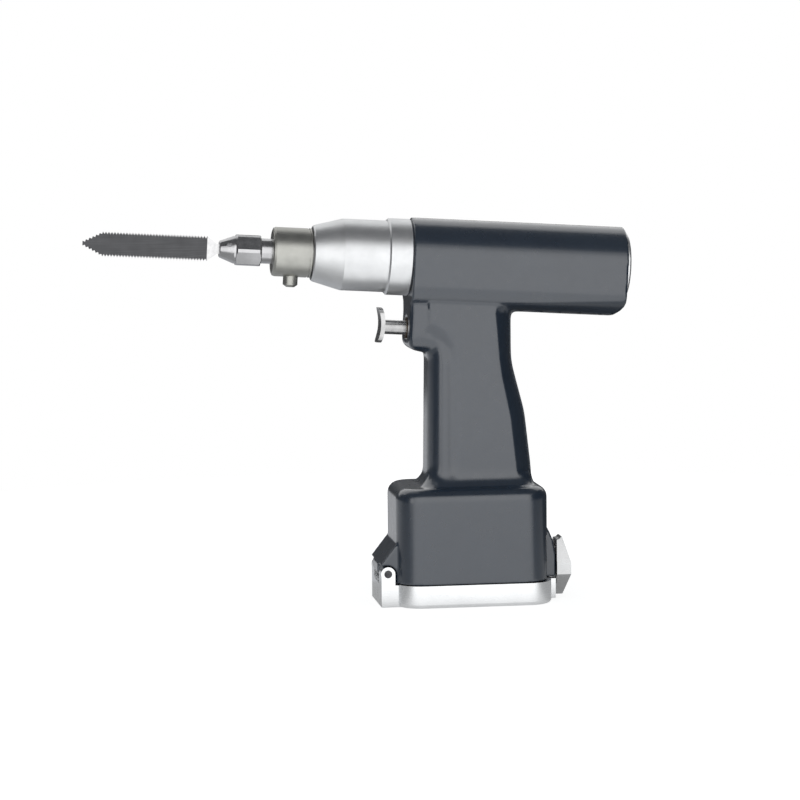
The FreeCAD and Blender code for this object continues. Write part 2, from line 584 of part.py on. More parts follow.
def make_rear_cap():
    """A shallow dome on a spigot; the o-ring fills a step in the spigot's end."""
    rear, spigot = "barrel_length", "cap_spigot"
    seat, step = "bore_radius - seat_gap", "bore_radius - seat_gap - oring_section"
    cap = turned("rear_cap", [
        (f"{rear} - {spigot}", "0"), (f"{rear} - {spigot}", step),
        (f"{rear} - {spigot} + oring_width", step), (f"{rear} - {spigot} + oring_width", seat),
        (rear, seat), (rear, "cap_radius"), (f"{rear} + cap_rim", "cap_radius"),
        (f"{rear} + 0.55 * cap_dome", "0.91 * cap_radius"), (f"{rear} + 0.85 * cap_dome", "0.65 * cap_radius"),
        (f"{rear} + cap_dome", "0.25 * cap_radius"), (f"{rear} + cap_dome", "0")])
    seal = tube("cap_seal", seat, step, f"{rear} - {spigot}", f"{rear} - {spigot} + oring_width")
    return [on_barrel(cap), on_barrel(seal)]


# Nose: front cone, ring and collar with the lock button

def make_nose_cone():
    cone = turned("nose_cone", [
        ("-nose_front", "collar_spigot_radius + seat_gap"), ("-nose_front", "nose_front_radius - nose_bevel"),
        ("nose_bevel - nose_front", "nose_front_radius"), ("-nose_cone_end", "nose_radius"),
        ("-ring_length", "nose_radius"), ("-ring_length", "ring_bore - seat_gap"),
        ("nose_spigot - ring_length", "ring_bore - seat_gap"), ("nose_spigot - ring_length", "nose_bore"),
        ("nose_lip - nose_front", "nose_bore"), ("nose_lip - nose_front", "collar_spigot_radius + seat_gap")])
    return on_barrel(cone)


def make_nose_ring():
    ring = turned("nose_ring", [
        ("-ring_length", "ring_bore"), ("-ring_length", "ring_radius - ring_bevel"),
        ("ring_bevel - ring_length", "ring_radius"), ("-ring_bevel", "ring_radius"),
        ("-seat_gap", "ring_radius - ring_bevel"), ("-seat_gap", "ring_bore")])
    return on_barrel(ring)


def make_collar():
    front, rear, r = "-collar_front", "-collar_rear", "collar_radius"
    body = turned("collar_form", [
        (front, "rod_radius + part_gap"), (front, f"{r} - collar_round"),
        (f"{front} + 0.3 * collar_round", f"{r} - 0.3 * collar_round"), (f"{front} + collar_round", r),
        (f"{rear} - 2 * collar_groove", r), (f"{rear} - 2 * collar_groove", f"{r} - collar_groove_depth"),
        (f"{rear} - collar_groove", f"{r} - collar_groove_depth"), (f"{rear} - collar_groove", r), (rear, r),
        (rear, "collar_spigot_radius"), ("nose_lip - nose_front", "collar_spigot_radius"),
        ("nose_lip - nose_front", "bush_radius"), (f"{front} + lip_length", "bush_radius"),
        (f"{front} + lip_length", "rod_radius + part_gap")])
    hole = cylinder("button_hole", "button_radius + running_gap", "collar_radius",
                    ("-button_s", "0", "-collar_radius - overlap"), "z")
    shield = tube("bush_wall", "bush_radius + slot_gap", "overlap", "-collar_front", "-collar_rear")
    return on_barrel(cut("collar", body, cut("button_bore", hole, shield)))


def make_bush_and_seal():
    start = "lip_length - collar_front"
    seal = tube("rod_seal", "bush_radius", "rod_radius + running_gap", start, f"{start} + seal_length")
    bush = tube("linear_bush", "bush_radius", "rod_radius + running_gap",
                f"{start} + seal_length", "nose_lip - nose_front")
    return [on_barrel(seal), on_barrel(bush)]


def make_lock_button():
    """A domed plunger under the collar, hollow for its spring."""
    r, out = "button_radius", "collar_radius + button_out"
    top = "bush_radius + 4 * slot_gap + button_travel"
    body = doc.addObject("PartDesign::Body", "button_form")
    sketch = sketch_on(body, "button_profile", "XZ_Plane")
    bore = "button_spring_radius + spring_play"
    polygon(sketch, [
        ("0", f"-({out})"), ("button_face_radius", f"-({out})"), (r, f"button_dome - ({out})"),
        (r, f"-({top})"), (bore, f"-({top})"), (bore, f"-({top}) - button_well"),
        ("0", f"-({top}) - button_well")])
    feature = body.newObject("PartDesign::Revolution", "button_turn")
    feature.Profile = sketch
    feature.ReferenceAxis = (sketch, ["V_Axis"])
    feature.Angle = 360
    coil = cylinder("button_coil", "button_spring_radius",
                    f"{top} + button_well - bush_radius - spring_play - slot_gap",
                    ("-button_s", "0", f"slot_gap - ({top}) - button_well"), "z")
    core = cylinder("button_coil_core", "button_spring_radius - spring_wire", "collar_radius",
                    ("-button_s", "0", f"-({top}) - button_well - overlap"), "z")
    move(body, ("-button_s", "0", "0"))
    return [on_barrel(group("lock_button", [body])), on_barrel(cut("button_spring", coil, core))]


# Plunger, drum cam, collet, nut and saw blade

def make_plunger():
    front, rear = "-sleeve_front", "-sleeve_rear"
    body = turned("plunger_form", [
        ("-thread_front", "0"), ("-thread_front", "thread_radius - thread_bevel"),
        ("thread_bevel - thread_front", "thread_radius"), ("-rod_front", "thread_radius"),
        ("-rod_front", "rod_radius - rod_bevel"), ("rod_bevel - rod_front", "rod_radius"),
        (f"{front} - sleeve_floor", "rod_radius"), (f"{front} - sleeve_floor", "sleeve_radius"),
        (rear, "sleeve_radius"), (rear, "sleeve_bore"), (front, "sleeve_bore"), (front, "0")])
    hole = cylinder("follower_hole", "follower_radius", "sleeve_radius",
                    ("-cam_middle", "sleeve_bore - overlap", "0"), "y")
    follower = cylinder("follower_form", "follower_radius", "sleeve_radius - drum_radius - follower_gap",
                        ("-cam_middle", "drum_radius + follower_gap", "0"), "y")
    return [on_barrel(cut("plunger_rod", body, hole)), on_barrel(group("follower_pin", [follower]))]


def make_drum_cam():
    """A drum with an inclined ring groove: one turn moves the plunger out and back."""
    start, end = "-drum_front", "drum_length - drum_front"
    drum = tube("drum_form", "drum_radius", "output_radius", start, end)
    disc = cylinder("groove_disc", "2 * drum_radius", "cam_groove", ("0", "0", "-cam_groove / 2"), "z")
    hub = cylinder("groove_hub", "drum_radius - cam_depth", "cam_groove + 2 * overlap",
                   ("0", "0", "-cam_groove / 2 - overlap"), "z")
    ring = cut("cam_ring", disc, hub)
    ring.Placement = FreeCAD.Placement(Vector(0, 0, 0), Rotation(Vector(0, 1, 0), 90))
    bind(ring, "Placement.Rotation.Angle", "90 deg + atan(cam_throw / drum_radius)")
    move(ring, ("-cam_middle", "0", "0"))
    return on_barrel(cut("drum_cam", drum, ring))


def make_collet():
    """Three spring jaws, slit from the front to a round relief hole each."""
    body = turned("collet_form", [
        ("-collet_front", "0"), ("-collet_front", "collet_tip_radius - collet_bevel"),
        ("collet_bevel - collet_front", "collet_tip_radius"),
        ("-nut_front - collet_base_length", "collet_base_radius"),
        ("-nut_front - seat_gap", "collet_base_radius"), ("-nut_front - seat_gap", "thread_radius - slot_gap"),
        ("-thread_front - part_gap", "thread_radius - slot_gap"), ("-thread_front - part_gap", "0")])
    slot = block("blade_slot", ("-collet_front - overlap", "-thread_front"),
                 ("-blade_thickness / 2 - running_gap", "blade_thickness / 2 + running_gap"),
                 ("-tang_width / 2 - running_gap", "tang_width / 2 + running_gap"))
    tools = [slot]
    for number, angle in enumerate((-25, 95, 215)):
        radians = math.radians(angle)
        direction = Vector(0, -math.cos(radians), -math.sin(radians))
        slit = doc.addObject("Part::Box", f"jaw_slit_{number}")
        bind(slit, "Length", "collet_front - nut_front - relief_back + overlap")
        bind(slit, "Width", "slit_width")
        bind(slit, "Height", "slit_depth")
        slit.Placement = FreeCAD.Placement(Vector(0, 0, 0), Rotation(Vector(0, 0, 1), direction))
        spin = Rotation(Vector(1, 0, 0), math.degrees(math.atan2(-direction.y, direction.z)))
        slit.Placement = FreeCAD.Placement(Vector(0, 0, 0), spin)
        side = spin.multVec(Vector(0, 1, 0))
        move(slit, ("-collet_front - overlap", f"{direction.y:.6f} * jaw_core - {side.y:.6f} * slit_width / 2",
                    f"{direction.z:.6f} * jaw_core - {side.z:.6f} * slit_width / 2"))
        relief = doc.addObject("Part::Cylinder", f"jaw_relief_{number}")
        bind(relief, "Radius", "relief_radius")
        bind(relief, "Height", "collet_base_radius")
        relief.Placement = FreeCAD.Placement(Vector(0, 0, 0), spin)
        move(relief, ("-nut_front - relief_back", f"{direction.y:.6f} * jaw_core",
                      f"{direction.z:.6f} * jaw_core"))
        tools += [slit, relief]
    return on_barrel(cut("collet", body, *tools))


def make_collet_nut():
    body = doc.addObject("PartDesign::Body", "nut_hexagon")
    sketch = sketch_on(body, "hexagon", "YZ_Plane", "-nut_front")
    radius = "nut_flats / 2 / cos(30)"
    polygon(sketch, [(f"{radius} * cos({60 * k})", f"{radius} * sin({60 * k})") if k % 3
                     else (f"{radius} * {1 if k == 0 else -1}", "0") for k in range(6)])
    pad(body, sketch, "nut_front - rod_front")
    lathe = turned("nut_turning", [
        ("-nut_front", "thread_radius + running_gap"), ("-nut_front", "nut_flats / 2 - nut_gap"),
        ("nut_bevel - nut_front", "nut_corner_radius"), ("-rod_front - nut_bevel", "nut_corner_radius"),
        ("-rod_front - nut_gap", "nut_flats / 2"), ("-rod_front - nut_gap", "thread_radius + running_gap")])
    return on_barrel(common("collet_nut", body, lathe))


def make_saw_blade():
    """A flat blade with teeth along both edges and down both slopes of the tip."""
    half, depth, pitch = value("blade_width") / 2, value("tooth_depth"), value("tooth_pitch")
    shoulder, heel, tip = -value("blade_shoulder"), -value("blade_heel"), -value("blade_tip")
    neck, tang = value("tang_width") / 2, -value("tang_end")
    corners = []
    count = int((heel - shoulder) / pitch)
    for index in range(count):
        place = heel - index * pitch
        corners += [(place, half), (place - pitch / 2, half - depth)]
    slope_start = (heel - count * pitch, half)
    slope_end = (tip, value("blade_tip_width") / 2)
    run = (slope_end[0] - slope_start[0], slope_end[1] - slope_start[1])
    length = math.hypot(*run)
    inward = (-run[1] / length, run[0] / length)
    teeth = int(value("tip_teeth"))
    for index in range(teeth):
        share, valley = index / teeth, (index + 0.5) / teeth
        corners.append((slope_start[0] + run[0] * share, slope_start[1] + run[1] * share))
        corners.append((slope_start[0] + run[0] * valley + inward[0] * depth,
                        slope_start[1] + run[1] * valley + inward[1] * depth))
    corners.append(slope_end)
    mirrored = [(x, -z) for x, z in reversed(corners)]
    root = [(-value("blade_neck"), -neck), (tang, -neck), (tang, neck), (-value("blade_neck"), neck)]
    outline = [Vector(x, -value("blade_thickness") / 2, z) for x, z in corners + mirrored + root]
    face = Part.Face(Part.makePolygon(outline + outline[:1]))
    blade = doc.addObject("Part::Feature", "saw_blade")
    blade.Shape = face.extrude(Vector(0, value("blade_thickness"), 0))
    return on_barrel(blade)


# Gearbox: sun, three planets, fixed ring and the carrier with the output shaft

def gear(name, teeth, start, length, bore, phase=0.0):
    """An external gear: a root disc and one tooth, repeated round the axis."""
    body = doc.addObject("PartDesign::Body", name)
    pitch_radius = f"gear_module * {teeth} / 2"
    disc = sketch_on(body, name + "_disc", "YZ_Plane", start)
    for radius in (f"{pitch_radius} - tooth_dedendum * gear_module", bore):
        number = disc.addGeometry(Part.Circle(Vector(0, 0, 0), Vector(0, 0, 1), value(radius)))
        disc.addConstraint(Sketcher.Constraint("Coincident", number, 3, -1, 1))
        limit = disc.addConstraint(Sketcher.Constraint("Radius", number, value(radius)))
        bind(disc, f"Constraints[{limit}]", radius)
    pad(body, disc, length)
    tooth = sketch_on(body, name + "_tooth", "YZ_Plane", start)
    half = "(pi * gear_module / 4 - tooth_backlash / 2)"
    low = f"{pitch_radius} - (tooth_dedendum + tooth_sink) * gear_module"
    high = f"{pitch_radius} + tooth_addendum * gear_module"
    wide, thin = f"{half} + root_widening * gear_module", f"{half} - tip_narrowing * gear_module"
    polygon(tooth, [(f"-({wide})", low), (wide, low), (thin, high), (f"-({thin})", high)])
    solid_tooth = pad(body, tooth, length)
    ring = body.newObject("PartDesign::PolarPattern", name + "_teeth")
    ring.Originals = [solid_tooth]
    ring.Axis = (disc, ["N_Axis"])
    ring.Angle = 360
    bind(ring, "Occurrences", teeth)
    body.Tip = ring
    body.Placement = FreeCAD.Placement(Vector(0, 0, 0), Rotation(Vector(1, 0, 0), phase))
    return body


def make_ring_gear():
    body = doc.addObject("PartDesign::Body", "ring_gear")
    pitch_radius = "gear_module * ring_teeth / 2"
    blank = sketch_on(body, "ring_blank", "YZ_Plane", "ring_gear_start")
    for radius in ("bore_radius - seat_gap", f"{pitch_radius} + tooth_dedendum * gear_module"):
        number = blank.addGeometry(Part.Circle(Vector(0, 0, 0), Vector(0, 0, 1), value(radius)))
        blank.addConstraint(Sketcher.Constraint("Coincident", number, 3, -1, 1))
        limit = blank.addConstraint(Sketcher.Constraint("Radius", number, value(radius)))
        bind(blank, f"Constraints[{limit}]", radius)
    pad(body, blank, "ring_gear_length")
    tooth = sketch_on(body, "ring_tooth", "YZ_Plane", "ring_gear_start")
    half = "(pi * gear_module / 4 - tooth_backlash / 2)"
    low = f"{pitch_radius} - tooth_addendum * gear_module"
    high = f"{pitch_radius} + (tooth_dedendum + tooth_sink) * gear_module"
    wide, thin = f"{half} + root_widening * gear_module", f"{half} - tip_narrowing * gear_module"
    polygon(tooth, [(f"-({thin})", low), (thin, low), (wide, high), (f"-({wide})", high)])
    solid_tooth = pad(body, tooth, "ring_gear_length")
    ring = body.newObject("PartDesign::PolarPattern", "ring_teeth")
    ring.Originals = [solid_tooth]
    ring.Axis = (blank, ["N_Axis"])
    ring.Angle = 360
    bind(ring, "Occurrences", "ring_teeth")
    body.Tip = ring
    return on_barrel(body)


def make_planets():
    planets = []
    for number in range(3):
        angle = 90 + 120 * number
        wheel = gear(f"planet_form_{number + 1}", "planet_teeth", "gear_start", "gear_length",
                     "planet_pin_radius + running_gap", planet_phase(angle))
        move(wheel, ("0", f"planet_centre * cos({angle})", f"planet_centre * sin({angle})"))
        planets.append(on_barrel(group(f"planet_gear_{number + 1}", [wheel])))
    return planets


def planet_phase(angle):
    """Turn of a planet at a given place so that its spaces take the sun's and ring's teeth."""
    sun, planet = value("sun_teeth"), value("planet_teeth")
    return (angle - 90) * (1 + sun / planet) + 180 / planet


def make_carrier():
    end = "carrier_start + carrier_thickness"
    body = turned("carrier_form", [
        ("-output_front", "0"), ("-output_front", "output_radius - running_gap"),
        ("carrier_start", "output_radius - running_gap"), ("carrier_start", "carrier_radius"),
        (end, "carrier_radius"), (end, "0")])
    holes, pins = [], []
    for number in range(3):
        angle = 90 + 120 * number
        place = (f"planet_centre * cos({angle})", f"planet_centre * sin({angle})")
        holes.append(cylinder(f"pin_hole_{number}", "planet_pin_radius", "carrier_thickness + 2 * overlap",
                              ("carrier_start - overlap", *place), "x"))
        pins.append(cylinder(f"planet_pin_{number}", "planet_pin_radius",
                             "gear_start + gear_length - carrier_start", ("carrier_start", *place), "x"))
    return [on_barrel(cut("planet_carrier", body, *holes)), on_barrel(group("planet_pins", pins))]


# Bearings: sealed, so the balls and shields are one with the outer ring

def make_output_bearing():
    start = "plate_start + plate_shoulder"
    end = f"{start} + big_bearing_width"
    outer = tube("output_bearing_outer", "big_ring_outer", "output_radius + big_ring_step + running_gap",
                 start, end)
    inner = tube("output_bearing_inner", "output_radius + big_ring_step", "output_radius", start, end)
    plate = turned("bearing_plate", [
        ("plate_start", "output_radius + plate_shoulder"), ("plate_start", "bore_radius - seat_gap"),
        ("plate_start + plate_thickness", "bore_radius - seat_gap"),
        ("plate_start + plate_thickness", "big_ring_outer"), (start, "big_ring_outer"),
        (start, "output_radius + plate_shoulder")])
    return [on_barrel(outer), on_barrel(inner), on_barrel(plate)]


def make_motor():
    plate, thick = "motor_plate_start", "motor_plate_thickness"
    front_bearing = f"{plate} + plate_shoulder"
    front_end = f"{front_bearing} + small_bearing_width"
    rear_bearing = "rear_plate_start"
    rear_end = f"{rear_bearing} + small_bearing_width"
    seat, bore = "small_ring_outer", "bore_radius - seat_gap"
    race = "shaft_radius + small_ring_step"
    pieces = [
        turned("front_motor_plate", [
            (plate, f"{race} + part_gap"), (plate, bore), (f"{plate} + {thick}", bore),
            (f"{plate} + {thick}", seat), (front_bearing, seat), (front_bearing, f"{race} + part_gap")]),
        tube("rear_motor_plate", bore, seat, "rear_plate_start", "rear_plate_start + rear_plate_thickness"),
        tube("stator_core", bore, "stator_bore", "stator_start", "stator_end"),
        tube("rotor_core", "rotor_radius", "shaft_radius", "stator_start", "stator_end"),
        turned("motor_shaft", [
            ("gear_start", "0"), ("gear_start", "shaft_radius"), (f"{rear_end} + shaft_end", "shaft_radius"),
            (f"{rear_end} + shaft_end", "0")]),
        gear("sun_gear", "sun_teeth", "gear_start", "gear_length", "shaft_radius"),
        group("motor_windings", [
            tube("front_winding", "winding_outer", "winding_inner", "stator_start - winding_length",
                 "stator_start"),
            tube("rear_winding", "winding_outer", "winding_inner", "stator_end",
                 "stator_end + winding_length")]),
        group("motor_bearing_outer_rings", [
            tube("front_outer_ring", seat, f"{race} + running_gap", front_bearing, front_end),
            tube("rear_outer_ring", seat, f"{race} + running_gap", rear_bearing, rear_end)]),
        group("motor_bearing_inner_rings", [
            tube("front_inner_ring", race, "shaft_radius", front_bearing, front_end),
            tube("rear_inner_ring", race, "shaft_radius", rear_bearing, rear_end)]),
    ]
    return [on_barrel(piece) for piece in pieces]


# Trigger with its bush, spring and sensor

def make_trigger():
    back, drop = "-trigger_back", "-trigger_drop"
    plate_body = doc.addObject("PartDesign::Body", "pad_plan")
    sketch = sketch_on(plate_body, "pad_outline", "YZ_Plane", f"{back} - pad_depth")
    round_rectangle(sketch, ("-pad_width / 2", "pad_width / 2"),
                    (f"{drop} - pad_height / 2 + pad_rise", f"{drop} + pad_height / 2 + pad_rise"), "pad_corner")
    pad(plate_body, sketch, "pad_depth + overlap")
    centre = (f"{back} - pad_dish - pad_thickness", "-pad_width", f"{drop} + pad_rise")
    outer = cylinder("pad_back", "pad_dish + pad_thickness", "2 * pad_width", centre, "y")
    inner = cylinder("pad_front", "pad_dish", "2 * pad_width", centre, "y")
    dish = cut("dished_pad", common("pad_blank", plate_body, outer), inner)
    stem = cylinder("trigger_stem", "stem_radius", "stem_rear + trigger_back + stem_root",
                    (f"{back} - stem_root", "0", drop), "x")
    bush = cylinder("trigger_bush_form", "trigger_bush_radius", "trigger_bush_length", ("0", "0", drop), "x")
    bush_hole = cylinder("trigger_bush_hole", "stem_radius + running_gap",
                         "trigger_bush_length + 2 * overlap", ("-overlap", "0", drop), "x")
    coil = cylinder("trigger_coil", "stem_radius - part_gap", "trigger_spring_end - stem_rear",
                    ("stem_rear", "0", drop), "x")
    coil_core = cylinder("trigger_coil_core", "stem_radius - part_gap - trigger_spring_wire",
                         "trigger_spring_end", ("overlap", "0", drop), "x")
    sensor_form = block("sensor_form", ("trigger_spring_end", "trigger_spring_end + sensor_length"),
                        ("-sensor_width / 2", "sensor_width / 2"),
                        (f"{drop} - sensor_height / 2", f"{drop} + sensor_height / 2"))
    sensor_eye = cylinder("sensor_eye_form", "stem_radius - part_gap - trigger_spring_wire",
                          "sensor_eye + overlap", ("trigger_spring_end - overlap", "0", drop), "x")
    sensor = cut("trigger_sensor", sensor_form, sensor_eye)
    return [on_barrel(fuse("trigger", dish, stem)), on_barrel(cut("trigger_bush", bush, bush_hole)),
            on_barrel(cut("trigger_spring", coil, coil_core)), on_barrel(sensor)]


# Control board in the grip

def make_board():
    wall = "grip_cavity_width / 2"
    low = f"{wall} - board_thickness"
    board_form = block("board_form", ("board_front", "board_rear"), (low, wall), ("board_low", "board_high"))
    places = [("board_front + screw_inset", "board_low + screw_inset"),
              ("board_rear - screw_inset", "board_high - screw_inset")]
    holes, screws = [], []
    for number, (x, z) in enumerate(places):
        holes.append(cylinder(f"board_hole_{number}", "board_screw_radius", "board_thickness + overlap",
                              (x, low, z), "y"))
        head = cylinder(f"screw_head_{number}", "screw_head_radius", "screw_head_height",
                        (x, f"{low} - screw_head_height", z), "y")
        shank = cylinder(f"screw_shank_{number}", "board_screw_radius", "board_thickness",
                         (x, low, z), "y")
        screws.append(fuse(f"board_screw_{number}", head, shank))
    board = cut("control_board", board_form, *holes)
    transistors = []
    for number in range(5):
        x = f"board_front + board_margin + {number % 2} * transistor_column"
        z = f"board_low + board_end + {number // 2} * transistor_pitch"
        transistors.append(block(f"transistor_{number}", (x, f"{x} + transistor_width"),
                                 (f"{low} - transistor_depth", low), (z, f"{z} + transistor_height")))
    chip_x = "board_front + board_margin + board_end"
    chip = block("motor_controller_chip", (chip_x, f"{chip_x} + chip_size"), (f"{low} - chip_height", low),
                 ("board_high - board_end - chip_size", "board_high - board_end"))
    capacitors = [cylinder(f"capacitor_{number}", "capacitor_radius", "capacitor_length",
                           ("board_rear - capacitor_radius - board_margin", f"{low} - capacitor_length",
                            "board_low + board_end + capacitor_rise"
                            f" + {number} * (2 * capacitor_radius + capacitor_gap)"), "y")
                  for number in range(2)]
    return [board, group("board_screws", screws), group("power_transistors", transistors + [chip]),
            group("capacitors", capacitors)]


# Battery, its terminals and the contact block above it

def make_battery():
    inner, low = "battery_wall", "battery_low"
    body = rounded_block("battery_form", ("battery_front", "battery_rear"),
                         ("-battery_width / 2", "battery_width / 2"), (low, "battery_top"), "battery_corner")
    room = block("battery_room", (f"battery_front + {inner}", f"battery_rear - {inner}"),
                 (f"{inner} - battery_width / 2", f"battery_width / 2 - {inner}"),
                 (f"{low} + {inner}", f"battery_top - {inner}"))
    roof, thick = f"battery_top - {inner}", "contact_thickness / 2"
    slots, blades, terminals = [], [], []
    for number in range(3):
        x = f"contact_middle + contact_pitch * {number - 1}"
        slots.append(block(f"contact_slot_{number}", (f"{x} - {thick} - part_gap", f"{x} + {thick} + part_gap"),
                           ("-contact_width / 2 - part_gap", "contact_width / 2 + part_gap"),
                           (f"{roof} - overlap", "battery_top + overlap")))
        blades.append(block(f"contact_blade_{number}", (f"{x} - {thick}", f"{x} + {thick}"),
                            ("-contact_width / 2", "contact_width / 2"), ("contact_low", "bay_top")))
        clip = block(f"terminal_{number}", (f"{x} - terminal_width / 2", f"{x} + terminal_width / 2"),
                     ("-contact_width / 2 - overlap", "contact_width / 2 + overlap"),
                     (f"{roof} - terminal_height", roof))
        mouth = block(f"terminal_mouth_{number}", (f"{x} - {thick} - slot_gap", f"{x} + {thick} + slot_gap"),
                      ("-contact_width / 2 - 2 * overlap", "contact_width / 2 + 2 * overlap"),
                      (f"{roof} - terminal_height + terminal_bridge", f"{roof} + overlap"))
        terminals.append(cut(f"terminal_clip_{number}", clip, mouth))
    shell = cut("battery_shell", body, room, *slots)
    cells = []
    for number in range(4):
        y = f"{(number % 2) * 2 - 1} * (cell_radius + cell_gap)"
        z = f"{low} + {inner} + cell_radius + {number // 2} * (2 * cell_radius + cell_gap)"
        cells.append(cylinder(f"cell_{number}", "cell_radius",
                              f"battery_rear - battery_front - 2 * {inner} - 2 * cell_play",
                              (f"battery_front + {inner} + cell_play", y, z), "x"))
    block_form = block("contact_block", ("grip_cavity_front", "grip_cavity_rear"),
                       ("-grip_cavity_width / 2", "grip_cavity_width / 2"),
                       ("bay_top", "bay_top + contact_block_height"))
    return [shell, group("battery_cells", cells), group("battery_terminals", terminals),
            group("contact_blades", blades), block_form]


# Battery lid with its ears, gasket and hinge pin

def make_lid():
    half = "box_width / 2"
    body = doc.addObject("PartDesign::Body", "lid_form")
    sketch = sketch_on(body, "lid_plan", "XY_Plane")
    round_rectangle(sketch, ("box_front", "lid_rear"), (f"-{half}", half), "box_corner")
    pad(body, sketch, "lid_height")
    soften(body, "lid_edge", "lid_round", lambda e: middle(e).z < 0.1)
    tray = block("lid_tray", ("box_front + lid_wall", "box_rear - lid_wall"),
                 (f"lid_wall - {half}", f"{half} - lid_wall"), ("lid_floor", "lid_height + overlap"))
    nose = "hinge_x - ear_radius + knuckle_play"
    front = block("lid_front", (nose, "box_front + lid_wall / 2"), ("-hinge_width / 2", "hinge_width / 2"),
                  ("0", "lid_height - lid_step"))
    tongue = block("lid_tongue", ("lid_rear - lid_wall / 2", "lid_tongue_rear"),
                   ("-lid_tongue_width / 2", "lid_tongue_width / 2"), ("overlap", "lid_height - lid_step"))
    span = "hinge_width / 2 - knuckle_width / 2 - knuckle_play"
    ears = []
    for number, low in enumerate(("knuckle_width / 2 + knuckle_play", "-hinge_width / 2")):
        ears.append(cylinder(f"ear_round_{number}", "ear_radius", span, ("hinge_x", low, "hinge_z"), "y"))
        ears.append(block(f"ear_web_{number}", (nose, "hinge_x + ear_radius"), (low, f"{low} + {span}"),
                          ("overlap", "hinge_z")))
    solid = fuse("lid_solid", body, front, tongue, *ears)
    pin_hole = cylinder("lid_pin_hole", "hinge_pin_radius + running_gap", "hinge_width + 2 * overlap",
                        ("hinge_x", "-hinge_width / 2 - overlap", "hinge_z"), "y")
    catch = block("latch_catch", ("lid_tongue_rear - latch_hook", "lid_tongue_rear + overlap"),
                  ("-latch_width / 2", "latch_width / 2"), ("catch_low", "lid_height + overlap"))

    def frame(name, inset, low, high):
        return rounded_block(name, (f"box_front + {inset}", f"box_rear - {inset}"),
                             (f"{inset} - {half}", f"{half} - {inset}"), (low, high), f"box_corner - {inset}")

    floor, inside = "lid_height - gasket_height", "gasket_inset + gasket_width"
    groove = cut("gasket_groove", frame("groove_outside", "gasket_inset", floor, "lid_height + overlap"),
                 frame("groove_inside", f"({inside})", f"{floor} - overlap", "lid_height + 2 * overlap"))
    gasket = cut("lid_gasket", frame("gasket_outside", "gasket_inset", floor, "lid_height + gasket_squeeze"),
                 frame("gasket_middle", f"({inside})", f"{floor} - overlap", "lid_height + overlap"))
    pin_form = cylinder("hinge_pin_form", "hinge_pin_radius", "hinge_width + 2 * pin_stand",
                        ("hinge_x", "-hinge_width / 2 - pin_stand", "hinge_z"), "y")
    slots = [block(f"pin_slot_{number}",
                   ("hinge_x - hinge_pin_radius - overlap", "hinge_x + hinge_pin_radius + overlap"),
                   (low, f"{low} + pin_slot_depth + overlap"),
                   ("hinge_z - pin_slot_width / 2", "hinge_z + pin_slot_width / 2"))
             for number, low in enumerate(("-hinge_width / 2 - pin_stand - overlap",
                                           "hinge_width / 2 + pin_stand - pin_slot_depth"))]
    return [cut("battery_lid", solid, tray, pin_hole, catch, groove), gasket,
            cut("hinge_pin", pin_form, *slots)]


# Latch lever with its pin and spring

def make_latch():
    """A faceted rocker that hooks the lid's tongue."""
    hook = "lid_tongue_rear - latch_hook + part_gap"
    side = side_plate("latch_side", [
        ("latch_back + latch_end", "latch_top - part_gap"), ("latch_end_x", "latch_top"),
        ("latch_crest_x", "latch_crest_high"), ("latch_crest_x", "latch_crest_low"),
        ("latch_end_x", "latch_low"), ("latch_back", "latch_low"), ("latch_back", "hook_low"),
        (hook, "hook_low"), (hook, "hook_high"), ("latch_back", "hook_heel"),
        ("latch_back", "latch_pivot_z + overlap")], "latch_width")
    back = doc.addObject("PartDesign::Body", "latch_face")
    sketch = sketch_on(back, "latch_facets", "YZ_Plane", "lid_rear")
    mid, end = "latch_width / 2", "latch_end_width / 2"
    polygon(sketch, [
        (f"-{end}", "latch_low"), (end, "latch_low"), (mid, "latch_crest_low"), (mid, "latch_crest_high"),
        (end, "latch_top"), (f"-{end}", "latch_top"), (f"-{mid}", "latch_crest_high"),
        (f"-{mid}", "latch_crest_low")])
    pad(back, sketch, "latch_crest_x + overlap - lid_rear")
    solid = common("latch_gem", side, back)
    slot = block("latch_slot", ("latch_back - overlap", "latch_pivot_x + lug_radius + lug_clearance"),
                 ("-lug_width / 2 - part_gap", "lug_width / 2 + part_gap"),
                 ("latch_pivot_z - lug_radius - overlap - lug_clearance", "latch_pivot_z + lug_radius + overlap"))
    hole = cylinder("latch_bore", "latch_pin_radius + running_gap", "latch_width - latch_cheek + overlap",
                    ("latch_pivot_x", "latch_cheek - latch_width / 2", "latch_pivot_z"), "y")
    recess = cylinder("finger_recess_form", "finger_recess", "latch_width",
                      ("latch_back + overlap", "-latch_width / 2", "latch_top + overlap"), "y")
    spring_seat = cylinder("latch_spring_seat", "latch_spring_radius + part_gap", "latch_seat_depth + overlap",
                           ("latch_back - overlap", "0", "latch_spring_z"), "x")
    lever = cut("latch_lever", solid, slot, hole, recess, spring_seat)
    pin = cylinder("latch_pin", "latch_pin_radius", "latch_width - 2 * latch_cheek",
                   ("latch_pivot_x", "latch_cheek + running_gap - latch_width / 2", "latch_pivot_z"), "y")
    start = "boss_rear - latch_spring_depth + slot_gap"
    coil = cylinder("latch_coil", "latch_spring_radius", "latch_spring_length",
                    (start, "0", "latch_spring_z"), "x")
    core = cylinder("latch_coil_core", "latch_spring_radius - spring_wire", "latch_spring_length + 2 * overlap",
                    (f"{start} - overlap", "0", "latch_spring_z"), "x")
    return [lever, pin, cut("latch_spring", coil, core)]


